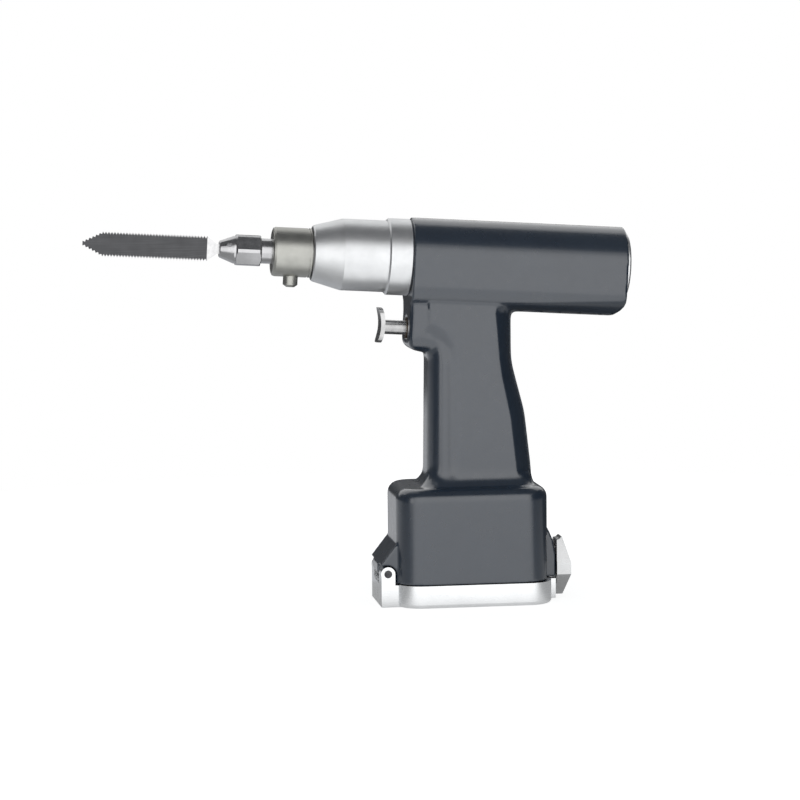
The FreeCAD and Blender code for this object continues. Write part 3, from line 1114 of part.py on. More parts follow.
nodes = [
    make_casing(), *make_rear_cap(), make_nose_cone(), make_nose_ring(), make_collar(), *make_bush_and_seal(),
    *make_lock_button(), *make_plunger(), make_drum_cam(), make_collet(), make_collet_nut(), make_saw_blade(),
    make_ring_gear(), *make_planets(), *make_carrier(), *make_output_bearing(), *make_motor(), *make_trigger(),
    *make_board(), *make_battery(), *make_lid(), *make_latch(),
]
doc.recompute()

broken = [thing.Name for thing in doc.Objects if {"Invalid", "Error"} & set(thing.State)]
if broken:
    raise RuntimeError(f"objects that failed: {broken}")
for node in nodes:
    if node.Shape.isNull() or not node.Shape.isValid():
        raise RuntimeError(f"{node.Label} has no valid shape")
for node in nodes:
    node.Shape.exportStep(f"parts/{node.Label}.step")
    print(f"{node.Label}: {len(node.Shape.Solids)} solids, {node.Shape.Volume:.1f} mm3")
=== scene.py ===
import math

import bmesh
import bpy
import numpy as np
from mathutils import Matrix, Vector


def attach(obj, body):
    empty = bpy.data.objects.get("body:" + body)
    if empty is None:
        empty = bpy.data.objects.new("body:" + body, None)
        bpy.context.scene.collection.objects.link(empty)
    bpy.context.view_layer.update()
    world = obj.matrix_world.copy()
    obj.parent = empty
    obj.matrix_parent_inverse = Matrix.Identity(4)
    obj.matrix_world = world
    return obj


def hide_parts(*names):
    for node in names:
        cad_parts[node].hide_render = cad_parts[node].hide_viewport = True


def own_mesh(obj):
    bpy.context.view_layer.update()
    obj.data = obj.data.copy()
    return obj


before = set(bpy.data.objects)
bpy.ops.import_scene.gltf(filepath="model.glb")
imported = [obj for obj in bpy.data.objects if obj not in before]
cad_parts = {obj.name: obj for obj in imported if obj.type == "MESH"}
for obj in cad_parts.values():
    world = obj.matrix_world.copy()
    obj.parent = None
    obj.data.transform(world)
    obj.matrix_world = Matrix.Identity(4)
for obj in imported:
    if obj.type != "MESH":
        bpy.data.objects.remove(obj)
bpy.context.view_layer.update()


# View: a long lens at bench height, a little above the barrel and 8 degrees round towards the blade,
# turned half a degree so that the handpiece stands as it does in the photograph.
view_turn = math.radians(-8.0)
view_rise = math.radians(5.7)
view_roll = math.radians(0.55)
view_reach = 1.56
looked_at = Vector((-0.03543, 0, 0.10573))
forward = Vector((-math.sin(view_turn) * math.cos(view_rise), math.cos(view_turn) * math.cos(view_rise),
                  -math.sin(view_rise)))
level_right = Vector((math.cos(view_turn), math.sin(view_turn), 0))
level_up = level_right.cross(forward)
right = level_right * math.cos(view_roll) - level_up * math.sin(view_roll)
up = level_right * math.sin(view_roll) + level_up * math.cos(view_roll)
lens = bpy.data.cameras.new("bench_view")
lens.sensor_width = 36
lens.lens = 135
lens.clip_start = 0.05
camera = bpy.data.objects.new("bench_view", lens)
bpy.context.scene.collection.objects.link(camera)
camera.matrix_world = Matrix.Translation(looked_at - forward * view_reach) @ Matrix(
    (right, up, -forward)).transposed().to_4x4()
bpy.context.scene.camera = camera
bpy.context.scene.view_settings.view_transform = "Standard"


# Room: white all round for the camera, for reflections and through glass, and a plain soft ambient
# light for everything else.
def node_in(tree, kind, **settings):
    node = tree.nodes.new(kind)
    for name, value in settings.items():
        setattr(node, name, value)
    return node


def seen_directly(tree):
    """One where a ray comes from the camera, a mirror or glass, and nought for soft light."""
    path = node_in(tree, "ShaderNodeLightPath")
    mirrored = node_in(tree, "ShaderNodeMath", operation="MAXIMUM")
    clear = node_in(tree, "ShaderNodeMath", operation="MAXIMUM")
    tree.links.new(path.outputs["Is Camera Ray"], mirrored.inputs[0])
    tree.links.new(path.outputs["Is Glossy Ray"], mirrored.inputs[1])
    tree.links.new(mirrored.outputs[0], clear.inputs[0])
    tree.links.new(path.outputs["Is Transmission Ray"], clear.inputs[1])
    return clear.outputs[0]


room = bpy.data.worlds.new("white_room")
room.use_nodes = True
room.node_tree.nodes.clear()
white_wall = node_in(room.node_tree, "ShaderNodeBackground")
white_wall.inputs["Color"].default_value = (1, 1, 1, 1)
white_wall.inputs["Strength"].default_value = 1.0
soft_fill = node_in(room.node_tree, "ShaderNodeBackground")
soft_fill.inputs["Color"].default_value = (0.95, 0.98, 1, 1)
soft_fill.inputs["Strength"].default_value = 0.45
wall_choice = node_in(room.node_tree, "ShaderNodeMixShader")
room_output = node_in(room.node_tree, "ShaderNodeOutputWorld")
room.node_tree.links.new(seen_directly(room.node_tree), wall_choice.inputs["Fac"])
room.node_tree.links.new(soft_fill.outputs[0], wall_choice.inputs[1])
room.node_tree.links.new(white_wall.outputs[0], wall_choice.inputs[2])
room.node_tree.links.new(wall_choice.outputs[0], room_output.inputs["Surface"])
bpy.context.scene.world = room


# Table: a round white sheet under the battery lid. It takes the handpiece's soft shadow, and glows
# the more the further out it lies, so that it runs into the white of the room; mirrored in the
# handpiece it is bright in front only.
def stage_sheet(name, corners, material):
    mesh = bpy.data.meshes.new(name)
    mesh.from_pydata(corners, [], [tuple(range(len(corners)))])
    mesh.materials.append(material)
    sheet = bpy.data.objects.new(name, mesh)
    bpy.context.scene.collection.objects.link(sheet)
    return sheet


table_white = bpy.data.materials.new("table_white")
table_white.use_nodes = True
table_tree = table_white.node_tree
table_tree.nodes.clear()
table_place = node_in(table_tree, "ShaderNodeTexCoord")
table_distance = node_in(table_tree, "ShaderNodeVectorMath", operation="LENGTH")
table_fade = node_in(table_tree, "ShaderNodeMapRange")
table_fade.inputs["From Min"].default_value = 0.08
table_fade.inputs["From Max"].default_value = 0.30
table_fade.inputs["To Min"].default_value = 0.84
table_fade.inputs["To Max"].default_value = 1.0
table_tree.links.new(table_distance.outputs["Value"], table_fade.inputs["Value"])
table_axes = node_in(table_tree, "ShaderNodeSeparateXYZ")
table_aside = node_in(table_tree, "ShaderNodeMath", operation="ABSOLUTE")
table_beyond = node_in(table_tree, "ShaderNodeMath", operation="SUBTRACT")
table_beyond.inputs[1].default_value = 0.06
table_beyond.use_clamp = True
table_sector = node_in(table_tree, "ShaderNodeMath", operation="MULTIPLY_ADD")
table_sector.inputs[1].default_value = 1.3
table_mirrored = node_in(table_tree, "ShaderNodeMapRange")
table_mirrored.inputs["From Min"].default_value = -0.07
table_mirrored.inputs["From Max"].default_value = -0.015
table_mirrored.inputs["To Min"].default_value = 1.05
table_mirrored.inputs["To Max"].default_value = 0.22
table_tree.links.new(table_place.outputs["Object"], table_axes.inputs[0])
table_tree.links.new(table_axes.outputs["X"], table_aside.inputs[0])
table_tree.links.new(table_aside.outputs[0], table_beyond.inputs[0])
table_tree.links.new(table_beyond.outputs[0], table_sector.inputs[0])
table_tree.links.new(table_axes.outputs["Y"], table_sector.inputs[2])
table_tree.links.new(table_sector.outputs[0], table_mirrored.inputs["Value"])
table_seen = node_in(table_tree, "ShaderNodeLightPath")
table_brightness = node_in(table_tree, "ShaderNodeMix", data_type="FLOAT")
table_tree.links.new(table_seen.outputs["Is Camera Ray"], table_brightness.inputs["Factor"])
table_tree.links.new(table_mirrored.outputs["Result"], table_brightness.inputs["A"])
table_tree.links.new(table_fade.outputs["Result"], table_brightness.inputs["B"])
table_paper = node_in(table_tree, "ShaderNodeBsdfDiffuse")
table_paper.inputs["Color"].default_value = (0.8, 0.8, 0.8, 1)
table_shade = node_in(table_tree, "ShaderNodeBsdfDiffuse")
table_shade.inputs["Color"].default_value = (0.40, 0.40, 0.40, 1)
table_glow = node_in(table_tree, "ShaderNodeEmission")
table_glow.inputs["Color"].default_value = (1, 1, 1, 1)
table_sum = node_in(table_tree, "ShaderNodeAddShader")
table_choice = node_in(table_tree, "ShaderNodeMixShader")
table_output = node_in(table_tree, "ShaderNodeOutputMaterial")
table_tree.links.new(table_place.outputs["Object"], table_distance.inputs[0])
table_tree.links.new(table_brightness.outputs["Result"], table_glow.inputs["Strength"])
table_tree.links.new(table_shade.outputs[0], table_sum.inputs[0])
table_tree.links.new(table_glow.outputs[0], table_sum.inputs[1])
table_tree.links.new(seen_directly(table_tree), table_choice.inputs["Fac"])
table_tree.links.new(table_paper.outputs[0], table_choice.inputs[1])
table_tree.links.new(table_sum.outputs[0], table_choice.inputs[2])
table_tree.links.new(table_choice.outputs[0], table_output.inputs["Surface"])
table_radius = 0.55
table_drop = 0.0003
stage_sheet("table", [(table_radius * math.cos(step * math.pi / 24), table_radius * math.sin(step * math.pi / 24),
                       -table_drop) for step in range(48)], table_white)


# Lights: one wide softbox on the camera's side and a small one further round to the blade.
def softbox(name, place, aim, width, height, power):
    lamp = bpy.data.lights.new(name, "AREA")
    lamp.shape = "RECTANGLE"
    lamp.size = width
    lamp.size_y = height
    lamp.energy = power
    box = bpy.data.objects.new(name, lamp)
    bpy.context.scene.collection.objects.link(box)
    box.matrix_world = Matrix.Translation(place) @ (Vector(place) - Vector(aim)).to_track_quat(
        "Z", "Y").to_matrix().to_4x4()
    return box


softbox("front_softbox", (-0.02, -1.5, 0.30), (0, 0, 0.15), 1.9, 1.6, 5.3)
softbox("left_softbox", (-1.12, -1.10, 0.25), (0, 0, 0.12), 0.45, 0.9, 0.75)


# Flags: grey cards that only reflections see. They stand over the handpiece, at both sides and low
# behind it, and draw the dark bands that shape the barrel, the nose and the corners of the box.
def flag(name, corners, shade):
    card = bpy.data.materials.new(name)
    card.use_nodes = True
    card.node_tree.nodes.clear()
    glow = node_in(card.node_tree, "ShaderNodeEmission")
    glow.inputs["Color"].default_value = (shade, shade * 1.02, shade * 1.06, 1)
    card_output = node_in(card.node_tree, "ShaderNodeOutputMaterial")
    card.node_tree.links.new(glow.outputs[0], card_output.inputs["Surface"])
    sheet = stage_sheet(name, corners, card)
    sheet.visible_camera = False
    sheet.visible_diffuse = False
    sheet.visible_transmission = False
    sheet.visible_shadow = False


def side_flag(name, x, near, far, shade):
    flag(name, [(x, near, -0.7), (x, far, -0.7), (x, far, 1.15), (x, near, 1.15)], shade)


flag("flag_over", [(-1.5, -1.05, 1.15), (1.5, -1.05, 1.15), (1.5, 0.39, 1.15), (-1.5, 0.39, 1.15)], 0.13)
side_flag("flag_right", 1.25, -1.85, 1.1, 0.05)
side_flag("flag_left", -1.25, -0.80, 1.1, 0.10)
flag("flag_behind", [(-1.5, 1.12, -0.7), (1.5, 1.12, -0.7), (1.5, 1.12, 0.45), (-1.5, 1.12, 0.45)], 0.06)
flag("flag_low_behind", [(-0.04, 0.035, 0.001), (1.4, 0.035, 0.001), (1.4, 1.1, 0.001), (-0.04, 1.1, 0.001)], 0.05)
flag("flag_low_left", [(-1.4, 0.06, 0.001), (-0.04, 0.06, 0.001), (-0.04, 1.1, 0.001), (-1.4, 1.1, 0.001)], 0.50)


# Main casing: one die-cast aluminium shell for the barrel, the trigger housing, the grip and the
# battery box. The CAD solid is given an even skin here; its corners are eased as in a real casting
# and the hollow beside the finger lobe is worked in softly. Coat: satin blue-grey baked enamel.
barrel_dip = math.radians(3.45)
barrel_mouth = Vector((-0.030, 0, 0.1798))


def smooth_step(value, low, high):
    share = np.clip((value - low) / (high - low), 0, 1)
    return share * share * (3 - 2 * share)


def eased(mesh, places, share, rounds):
    """Each point moves by its share towards the middle of its neighbours, round after round."""
    ends = np.empty(len(mesh.edges) * 2, np.int64)
    mesh.edges.foreach_get("vertices", ends)
    first, second = ends.reshape(-1, 2).T
    count = len(places)
    neighbours = np.bincount(first, minlength=count) + np.bincount(second, minlength=count)
    for _ in range(rounds):
        total = np.stack([np.bincount(first, places[second, k], count) + np.bincount(second, places[first, k], count)
                          for k in range(3)], axis=1)
        places = places + share[:, None] * (total / neighbours[:, None] - places)
    return places


def distance_to_line(x, z, line):
    """How far points lie from a broken line in the side view."""
    nearest = np.full(len(x), np.inf)
    for (x0, z0), (x1, z1) in zip(line, line[1:]):
        run = (x1 - x0) ** 2 + (z1 - z0) ** 2
        along = np.clip(((x - x0) * (x1 - x0) + (z - z0) * (z1 - z0)) / run, 0, 1)
        nearest = np.minimum(nearest, np.hypot(x - x0 - along * (x1 - x0), z - z0 - along * (z1 - z0)))
    return nearest


skin_pitch = 0.00065
box_half_width = 0.028
finger_lobe_edge = ((-0.0215, 0.1418), (-0.0160, 0.1378), (-0.0122, 0.1330), (-0.0108, 0.1270), (-0.0108, 0.0690))
lobe_blend_reach, lobe_hollow_reach, lobe_hollow_depth = 0.0035, 0.0024, 0.0006
panel_edge_heights = (0.064, 0.097, 0.1177, 0.1515)
panel_edge_places = (0.0238, 0.0202, 0.0161, 0.0125)
panel_fall, panel_fall_reach = 0.42, 0.006

cast = bmesh.new()
cast.from_mesh(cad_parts["main_casing"].data)
bmesh.ops.remove_doubles(cast, verts=cast.verts, dist=0.000002)
raw_casing = bpy.data.meshes.new("raw_casing")
cast.to_mesh(raw_casing)
cast.free()
blank = bpy.data.objects.new("casing_blank", raw_casing)
bpy.context.scene.collection.objects.link(blank)
skin = blank.modifiers.new("even_skin", "REMESH")
skin.mode = "VOXEL"
skin.voxel_size = skin_pitch
casing_mesh = bpy.data.meshes.new_from_object(blank.evaluated_get(bpy.context.evaluated_depsgraph_get()))
casing_mesh.name = "casing_shell"
bpy.data.objects.remove(blank)
places = np.empty(len(casing_mesh.vertices) * 3)
casing_mesh.vertices.foreach_get("co", places)
places = places.reshape(-1, 3)
x, y, z = places.T
on_grip = (smooth_step(z, 0.061, 0.066) * (1 - smooth_step(np.abs(y), 0.0205, 0.0235) * (z < 0.075))
           * (1 - smooth_step(x, 0.034, 0.044)) * smooth_step(x, -0.042, -0.036)
           * (1 - smooth_step(z, 0.1505, 0.1555)))
by_lobe = np.exp(-(distance_to_line(x, z, finger_lobe_edge) / lobe_blend_reach) ** 2) * (np.abs(y) > 0.0105)
by_latch = (x > 0.0375) & (z < 0.036)
places = eased(casing_mesh, places, 0.5 * ~by_latch, 3)
places = eased(casing_mesh, places, 0.6 * on_grip, 26)
places = eased(casing_mesh, places, 0.6 * on_grip * by_lobe, 50)
places[:, 1] = np.clip(places[:, 1], -box_half_width, box_half_width)
x, y, z = places.T
from_lobe_edge = distance_to_line(x, z, finger_lobe_edge)
hollow = lobe_hollow_depth * np.exp(-(from_lobe_edge / lobe_hollow_reach) ** 2) * (np.abs(y) > 0.0125)
places[:, 1] -= np.sign(y) * hollow
panel_rear = np.interp(z, panel_edge_heights, panel_edge_places)
past_rear = np.clip(x - panel_rear, 0, panel_fall_reach) * smooth_step(z, 0.066, 0.070) * (1 - smooth_step(z, 0.150, 0.157))
places[:, 1] -= np.sign(y) * panel_fall * past_rear * (np.abs(y) > 0.0105)
places = eased(casing_mesh, places, 0.5 * on_grip, 4)
casing_mesh.vertices.foreach_set("co", places.ravel())
casing_mesh.shade_smooth()
casing = bpy.data.objects.new("casing_shell", casing_mesh)
bpy.context.scene.collection.objects.link(casing)
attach(casing, "casing")
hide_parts("main_casing")


def surface(name):
    """A new material with its shader and the piece's own coordinates."""
    material = bpy.data.materials.new(name)
    material.use_nodes = True
    tree = material.node_tree
    tree.nodes.clear()
    shader = node_in(tree, "ShaderNodeBsdfPrincipled")
    output = node_in(tree, "ShaderNodeOutputMaterial")
    place = node_in(tree, "ShaderNodeTexCoord")
    tree.links.new(shader.outputs[0], output.inputs["Surface"])
    return material, tree, shader, place.outputs["Object"]


def speckle(tree, place, per_metre, detail=3.0):
    """A soft random cloud whose patches are one over per_metre wide."""
    cloud = node_in(tree, "ShaderNodeTexNoise")
    cloud.inputs["Scale"].default_value = per_metre
    cloud.inputs["Detail"].default_value = detail
    tree.links.new(place, cloud.inputs["Vector"])
    return cloud.outputs["Fac"]


def grained(tree, place, scale, dip=0.0):
    """Coordinates scaled along each axis, tipped into the barrel's slope where a dip is given."""
    grain = node_in(tree, "ShaderNodeMapping")
    grain.inputs["Rotation"].default_value = (0, -dip, 0)
    grain.inputs["Scale"].default_value = scale
    tree.links.new(place, grain.inputs["Vector"])
    return grain.outputs["Vector"]


def spread(tree, value, low, high, from_low=0.3, from_high=0.7):
    """A value's usual run from from_low to from_high, stretched to low and high."""
    ramp = node_in(tree, "ShaderNodeMapRange")
    ramp.inputs["From Min"].default_value = from_low
    ramp.inputs["From Max"].default_value = from_high
    ramp.inputs["To Min"].default_value = low
    ramp.inputs["To Max"].default_value = high
    tree.links.new(value, ramp.inputs["Value"])
    return ramp.outputs["Result"]


def two_tone(tree, factor, dark, light):
    """A colour between two that follows the factor."""
    blend = node_in(tree, "ShaderNodeMix", data_type="RGBA")
    for socket, tone in (("A", dark), ("B", light)):
        if isinstance(tone, tuple):
            blend.inputs[socket].default_value = (*tone, 1)
        else:
            tree.links.new(tone, blend.inputs[socket])
    tree.links.new(factor, blend.inputs["Factor"])
    return blend.outputs["Result"]


def relief(tree, shader, height, depth):
    """Fine relief of a depth in metres."""
    bump = node_in(tree, "ShaderNodeBump")
    bump.inputs["Strength"].default_value = 1.0
    bump.inputs["Distance"].default_value = depth
    tree.links.new(height, bump.inputs["Height"])
    tree.links.new(bump.outputs["Normal"], shader.inputs["Normal"])


enamel, tree, shader, place = surface("blue_grey_enamel")
shader.inputs["IOR"].default_value = 1.60
shader.inputs["Coat Weight"].default_value = 1.0
shader.inputs["Coat Roughness"].default_value = 0.19
shader.inputs["Coat IOR"].default_value = 1.58
cloudy = two_tone(tree, spread(tree, speckle(tree, place, 55, 4), 0, 1), (0.010, 0.022, 0.042), (0.014, 0.028, 0.050))
bend = node_in(tree, "ShaderNodeNewGeometry")
handled = node_in(tree, "ShaderNodeMath", operation="MULTIPLY")
tree.links.new(spread(tree, bend.outputs["Pointiness"], 0, 0.35, 0.57, 0.68), handled.inputs[0])
tree.links.new(spread(tree, speckle(tree, place, 300, 4), 0.2, 1), handled.inputs[1])
tree.links.new(two_tone(tree, handled.outputs[0], cloudy, (0.050, 0.062, 0.078)), shader.inputs["Base Color"])
tree.links.new(spread(tree, speckle(tree, place, 240), 0.27, 0.35), shader.inputs["Roughness"])
relief(tree, shader, speckle(tree, place, 1800, 1), 0.0000015)
casing_mesh.materials.clear()
casing_mesh.materials.append(enamel)


# Rear cap, nose ring and nose cone: turned from aluminium bar, the last cut's fine rings still on
# them under a bead-blasted satin.
def dress(material, *nodes):
    """Puts a material on CAD nodes, whose shapes stay as they are."""
    for name in nodes:
        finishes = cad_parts[name].data.materials
        finishes.clear()
        finishes.append(material)


def bands_per(pitch):
    """The scale at which a wave texture repeats once in a pitch given in metres."""
    return 0.314 / pitch


def turned(name, dark, light, smooth, rough, ring_pitch, ring_depth):
    """Bare metal with fine rings round the barrel's axis."""
    material, tree, shader, place = surface(name)
    shader.inputs["Metallic"].default_value = 1.0
    rings = node_in(tree, "ShaderNodeTexWave", bands_direction="X")
    rings.inputs["Scale"].default_value = bands_per(ring_pitch)
    rings.inputs["Distortion"].default_value = 0.6
    rings.inputs["Detail"].default_value = 1.0
    tree.links.new(grained(tree, place, (1, 1, 1), barrel_dip), rings.inputs["Vector"])
    tree.links.new(two_tone(tree, spread(tree, speckle(tree, place, 130, 4), 0, 1), dark, light),
                   shader.inputs["Base Color"])
    tree.links.new(spread(tree, speckle(tree, place, 420), smooth, rough), shader.inputs["Roughness"])
    relief(tree, shader, rings.outputs["Fac"], ring_depth)
    return material


dress(turned("satin_aluminium", (0.70, 0.71, 0.72), (0.77, 0.78, 0.79), 0.38, 0.44, 0.0003, 0.0000008),
      "nose_cone", "nose_ring", "rear_cap")


# Seals: the rear cap's cord ring, the plunger rod's lip seal and the lid's flat gasket, all moulded
# in black silicone, matt and slightly dusty.
silicone, tree, shader, place = surface("black_silicone")
tree.links.new(two_tone(tree, spread(tree, speckle(tree, place, 900), 0, 1), (0.012, 0.012, 0.013),
                        (0.022, 0.022, 0.023)), shader.inputs["Base Color"])
tree.links.new(spread(tree, speckle(tree, place, 500), 0.55, 0.75), shader.inputs["Roughness"])
relief(tree, shader, speckle(tree, place, 3000), 0.00001)
dress(silicone, "cap_seal", "rod_seal", "lid_gasket")


# Collar and lock button: turned stainless steel, darker and warmer than the aluminium. The button's
# domed end stands out below; a small coil of spring wire holds it down.
dress(turned("collar_steel", (0.41, 0.41, 0.385), (0.48, 0.48, 0.45), 0.36, 0.42, 0.00025, 0.000001),
      "collar", "lock_button")
spring_steel, tree, shader, place = surface("spring_wire")
shader.inputs["Metallic"].default_value = 1.0
tree.links.new(two_tone(tree, spread(tree, speckle(tree, place, 700), 0, 1), (0.30, 0.30, 0.31), (0.42, 0.42, 0.43)),
               shader.inputs["Base Color"])
tree.links.new(spread(tree, speckle(tree, place, 1500), 0.2, 0.35), shader.inputs["Roughness"])
relief(tree, shader, speckle(tree, place, 4000), 0.000003)


def on_barrel(s, across, high):
    """A place in the barrel's own axes, metres behind its mouth."""
    return barrel_mouth + Vector((s * math.cos(barrel_dip) + high * math.sin(barrel_dip), across,
                                  high * math.cos(barrel_dip) - s * math.sin(barrel_dip)))


def coil_spring(name, start, end, outer, wire, turns):
    """Round wire wound from start to end."""
    turn = (end - start).to_track_quat("Z", "Y").to_matrix()
    rise = (end - start).length - wire
    steps, sides = turns * 20, 8
    winding = bmesh.new()
    rings = []
    for step in range(steps + 1):
        angle = math.tau * turns * step / steps
        outward = Vector((math.cos(angle), math.sin(angle), 0))
        middle = outward * (outer - wire / 2) + Vector((0, 0, wire / 2 + rise * step / steps))
        rings.append([winding.verts.new(start + turn @ (
            middle + outward * (math.cos(math.tau * side / sides) * wire / 2)
            + Vector((0, 0, math.sin(math.tau * side / sides) * wire / 2)))) for side in range(sides)])
    for ring, following in zip(rings, rings[1:]):
        for side in range(sides):
            beside = (side + 1) % sides
            winding.faces.new((ring[side], ring[beside], following[beside], following[side]))
    winding.faces.new(rings[0])
    winding.faces.new(rings[-1])
    bmesh.ops.recalc_face_normals(winding, faces=winding.faces)
    mesh = bpy.data.meshes.new(name)
    winding.to_mesh(mesh)
    winding.free()
    mesh.shade_smooth()
    mesh.materials.append(spring_steel)
    spring = bpy.data.objects.new(name, mesh)
    bpy.context.scene.collection.objects.link(spring)
    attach(spring, "casing")
    return spring


button_coil = coil_spring("button_coil", on_barrel(-0.0612, 0, -0.01420), on_barrel(-0.0612, 0, -0.00865),
                          0.0024, 0.0006, 5)
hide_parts("button_spring")
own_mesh(button_coil)


# Plunger rod, collet and collet nut: ground and polished stainless steel, hardened.
dress(turned("polished_steel", (0.46, 0.46, 0.47), (0.56, 0.56, 0.57), 0.16, 0.26, 0.0002, 0.0000012),
      "plunger_rod", "collet", "collet_nut")


# Saw blade: hardened strip with teeth on both edges and down both slopes of the tip. Its faces are
# ground dull along their length; the teeth's flanks and the neck behind the heel are left bright.
blade_half, tooth_deep, slope_deep, tooth_pitch = 0.00635, 0.00125, 0.00095, 0.001525
blade_heel, blade_end, blade_neck, tang_end = -0.1048, -0.1684, -0.0997, -0.0860
row_teeth, slope_teeth = 35, 6
end_half, tang_half, blade_thick, tooth_thick, tooth_lean = 0.0012, 0.0025, 0.0009, 0.0005, 0.00012
shoulder = Vector((blade_heel - row_teeth * tooth_pitch, blade_half))
slope = Vector((blade_end, end_half)) - shoulder
inward = Vector((-slope.y, slope.x)).normalized()
upper = [(Vector((blade_heel, blade_half)), None)]
for tooth in range(row_teeth):
    upper.append((Vector((blade_heel - (tooth + 0.5) * tooth_pitch, blade_half - tooth_deep)),
                  Vector((blade_heel - (tooth + 1) * tooth_pitch, blade_half))))
for tooth in range(slope_teeth):
    upper.append((shoulder + slope * ((tooth + 0.5) / slope_teeth) + inward * slope_deep,
                  shoulder + slope * ((tooth + 1) / slope_teeth) if tooth + 1 < slope_teeth else None))
upper.append((Vector((blade_end, end_half)), None))
mirror = Vector((1, -1))
lower = [(corner * mirror, upper[place - 1][1] * mirror if place and upper[place - 1][1] else None)
         for place, (corner, point) in reversed(list(enumerate(upper)))]
outline = upper + lower
blade = bmesh.new()


def pair_across(corner, thick, lean=0.0):
    """The near and the far point of the blade at one place of its outline."""
    return [blade.verts.new(on_barrel(corner.x, lean + side * thick / 2, corner.y)) for side in (-1, 1)]


corners = [pair_across(corner, blade_thick) for corner, point in outline]
tang = [pair_across(Vector(corner), blade_thick) for corner in (
    (blade_neck, -tang_half), (tang_end, -tang_half), (tang_end, tang_half), (blade_neck, tang_half))]
blade.faces.new([near for near, far in corners])
blade.faces.new([far for near, far in corners])
for index, (corner, point) in enumerate(outline[:-1]):
    a, b = corners[index], corners[index + 1]
    if point is None:
        blade.faces.new((a[0], b[0], b[1], a[1]))
        continue
    tip = pair_across(point, tooth_thick, tooth_lean if index % 2 else -tooth_lean)
    blade.faces.new((a[0], b[0], tip[0]))
    blade.faces.new((a[1], b[1], tip[1]))
    for c, d in ((a, tip), (tip, b)):
        blade.faces.new((c[0], d[0], d[1], c[1])).material_index = 1
neck = [corners[-1], *tang, corners[0]]
for side in (0, 1):
    blade.faces.new([pair[side] for pair in neck]).material_index = 1
for a, b in zip(neck, neck[1:]):
    blade.faces.new((a[0], b[0], b[1], a[1])).material_index = 1
bmesh.ops.recalc_face_normals(blade, faces=blade.faces)
blade_mesh = bpy.data.meshes.new("toothed_blade")
blade.to_mesh(blade_mesh)
blade.free()
dull_grind, tree, shader, place = surface("dull_ground_blade")
shader.inputs["Metallic"].default_value = 0.9
grind = speckle(tree, grained(tree, place, (60, 900, 5000), barrel_dip), 1)
tree.links.new(two_tone(tree, spread(tree, grind, 0, 1), (0.080, 0.081, 0.085), (0.105, 0.106, 0.111)),
               shader.inputs["Base Color"])
tree.links.new(spread(tree, speckle(tree, place, 160), 0.40, 0.52), shader.inputs["Roughness"])
relief(tree, shader, grind, 0.000002)
bright_grind, tree, shader, place = surface("bright_ground_neck")
shader.inputs["Metallic"].default_value = 1.0
tree.links.new(two_tone(tree, spread(tree, speckle(tree, place, 500), 0, 1), (0.56, 0.56, 0.565),
                        (0.66, 0.66, 0.665)), shader.inputs["Base Color"])
tree.links.new(spread(tree, speckle(tree, place, 900), 0.18, 0.28), shader.inputs["Roughness"])
relief(tree, shader, speckle(tree, grained(tree, place, (4000, 900, 60)), 1), 0.000001)
blade_mesh.materials.append(dull_grind)
blade_mesh.materials.append(bright_grind)
toothed_blade = bpy.data.objects.new("toothed_blade", blade_mesh)
bpy.context.scene.collection.objects.link(toothed_blade)
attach(toothed_blade, "plunger")
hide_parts("saw_blade")


# Trigger: a dished pad on a round stem, turned and polished in one piece, with its return spring
# wound behind the stem. The rod runs in a bronze bush, and so does the plunger rod in its own.
dress(turned("trigger_steel", (0.36, 0.36, 0.36), (0.56, 0.56, 0.56), 0.22, 0.34, 0.0002, 0.0000012), "trigger")
trigger_coil = coil_spring("trigger_coil", on_barrel(0.008, 0, -0.0365), on_barrel(0.021, 0, -0.0365),
                           0.0034, 0.0009, 6)
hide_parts("trigger_spring")
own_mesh(trigger_coil)


def bare(name, metal, dark, light, patch, smooth, rough, depth):
    """An inside finish: a cloudy tone, a roughness that varies with it and a fine grain."""
    material, tree, shader, place = surface(name)
    shader.inputs["Metallic"].default_value = metal
    tree.links.new(two_tone(tree, spread(tree, speckle(tree, place, patch, 4), 0, 1), dark, light),
                   shader.inputs["Base Color"])
    tree.links.new(spread(tree, speckle(tree, place, patch * 2.5), smooth, rough), shader.inputs["Roughness"])
    relief(tree, shader, speckle(tree, place, patch * 9), depth)
    return material


dress(bare("sintered_bronze", 1.0, (0.070, 0.046, 0.026), (0.120, 0.080, 0.044), 900, 0.35, 0.5, 0.000006),
      "linear_bush", "trigger_bush")


# Gearbox and bearings: the drum cam with its follower pin, the ring gear, sun and planets, the
# carrier and the bearing rings. Hardened steel, ground, with a film of oil in places.
dress(bare("oiled_tool_steel", 1.0, (0.24, 0.24, 0.25), (0.36, 0.36, 0.37), 260, 0.16, 0.34, 0.000002),
      "drum_cam", "follower_pin", "ring_gear", "planet_gear_1", "planet_gear_2", "planet_gear_3", "planet_carrier",
      "planet_pins", "sun_gear")
dress(bare("bearing_steel", 1.0, (0.46, 0.46, 0.47), (0.56, 0.56, 0.57), 400, 0.10, 0.2, 0.000001),
      "output_bearing_outer", "output_bearing_inner", "motor_bearing_outer_rings", "motor_bearing_inner_rings",
      "motor_shaft")
dress(turned("plate_aluminium", (0.52, 0.53, 0.54), (0.62, 0.63, 0.64), 0.3, 0.4, 0.0004, 0.000002),
      "bearing_plate", "front_motor_plate", "rear_motor_plate")


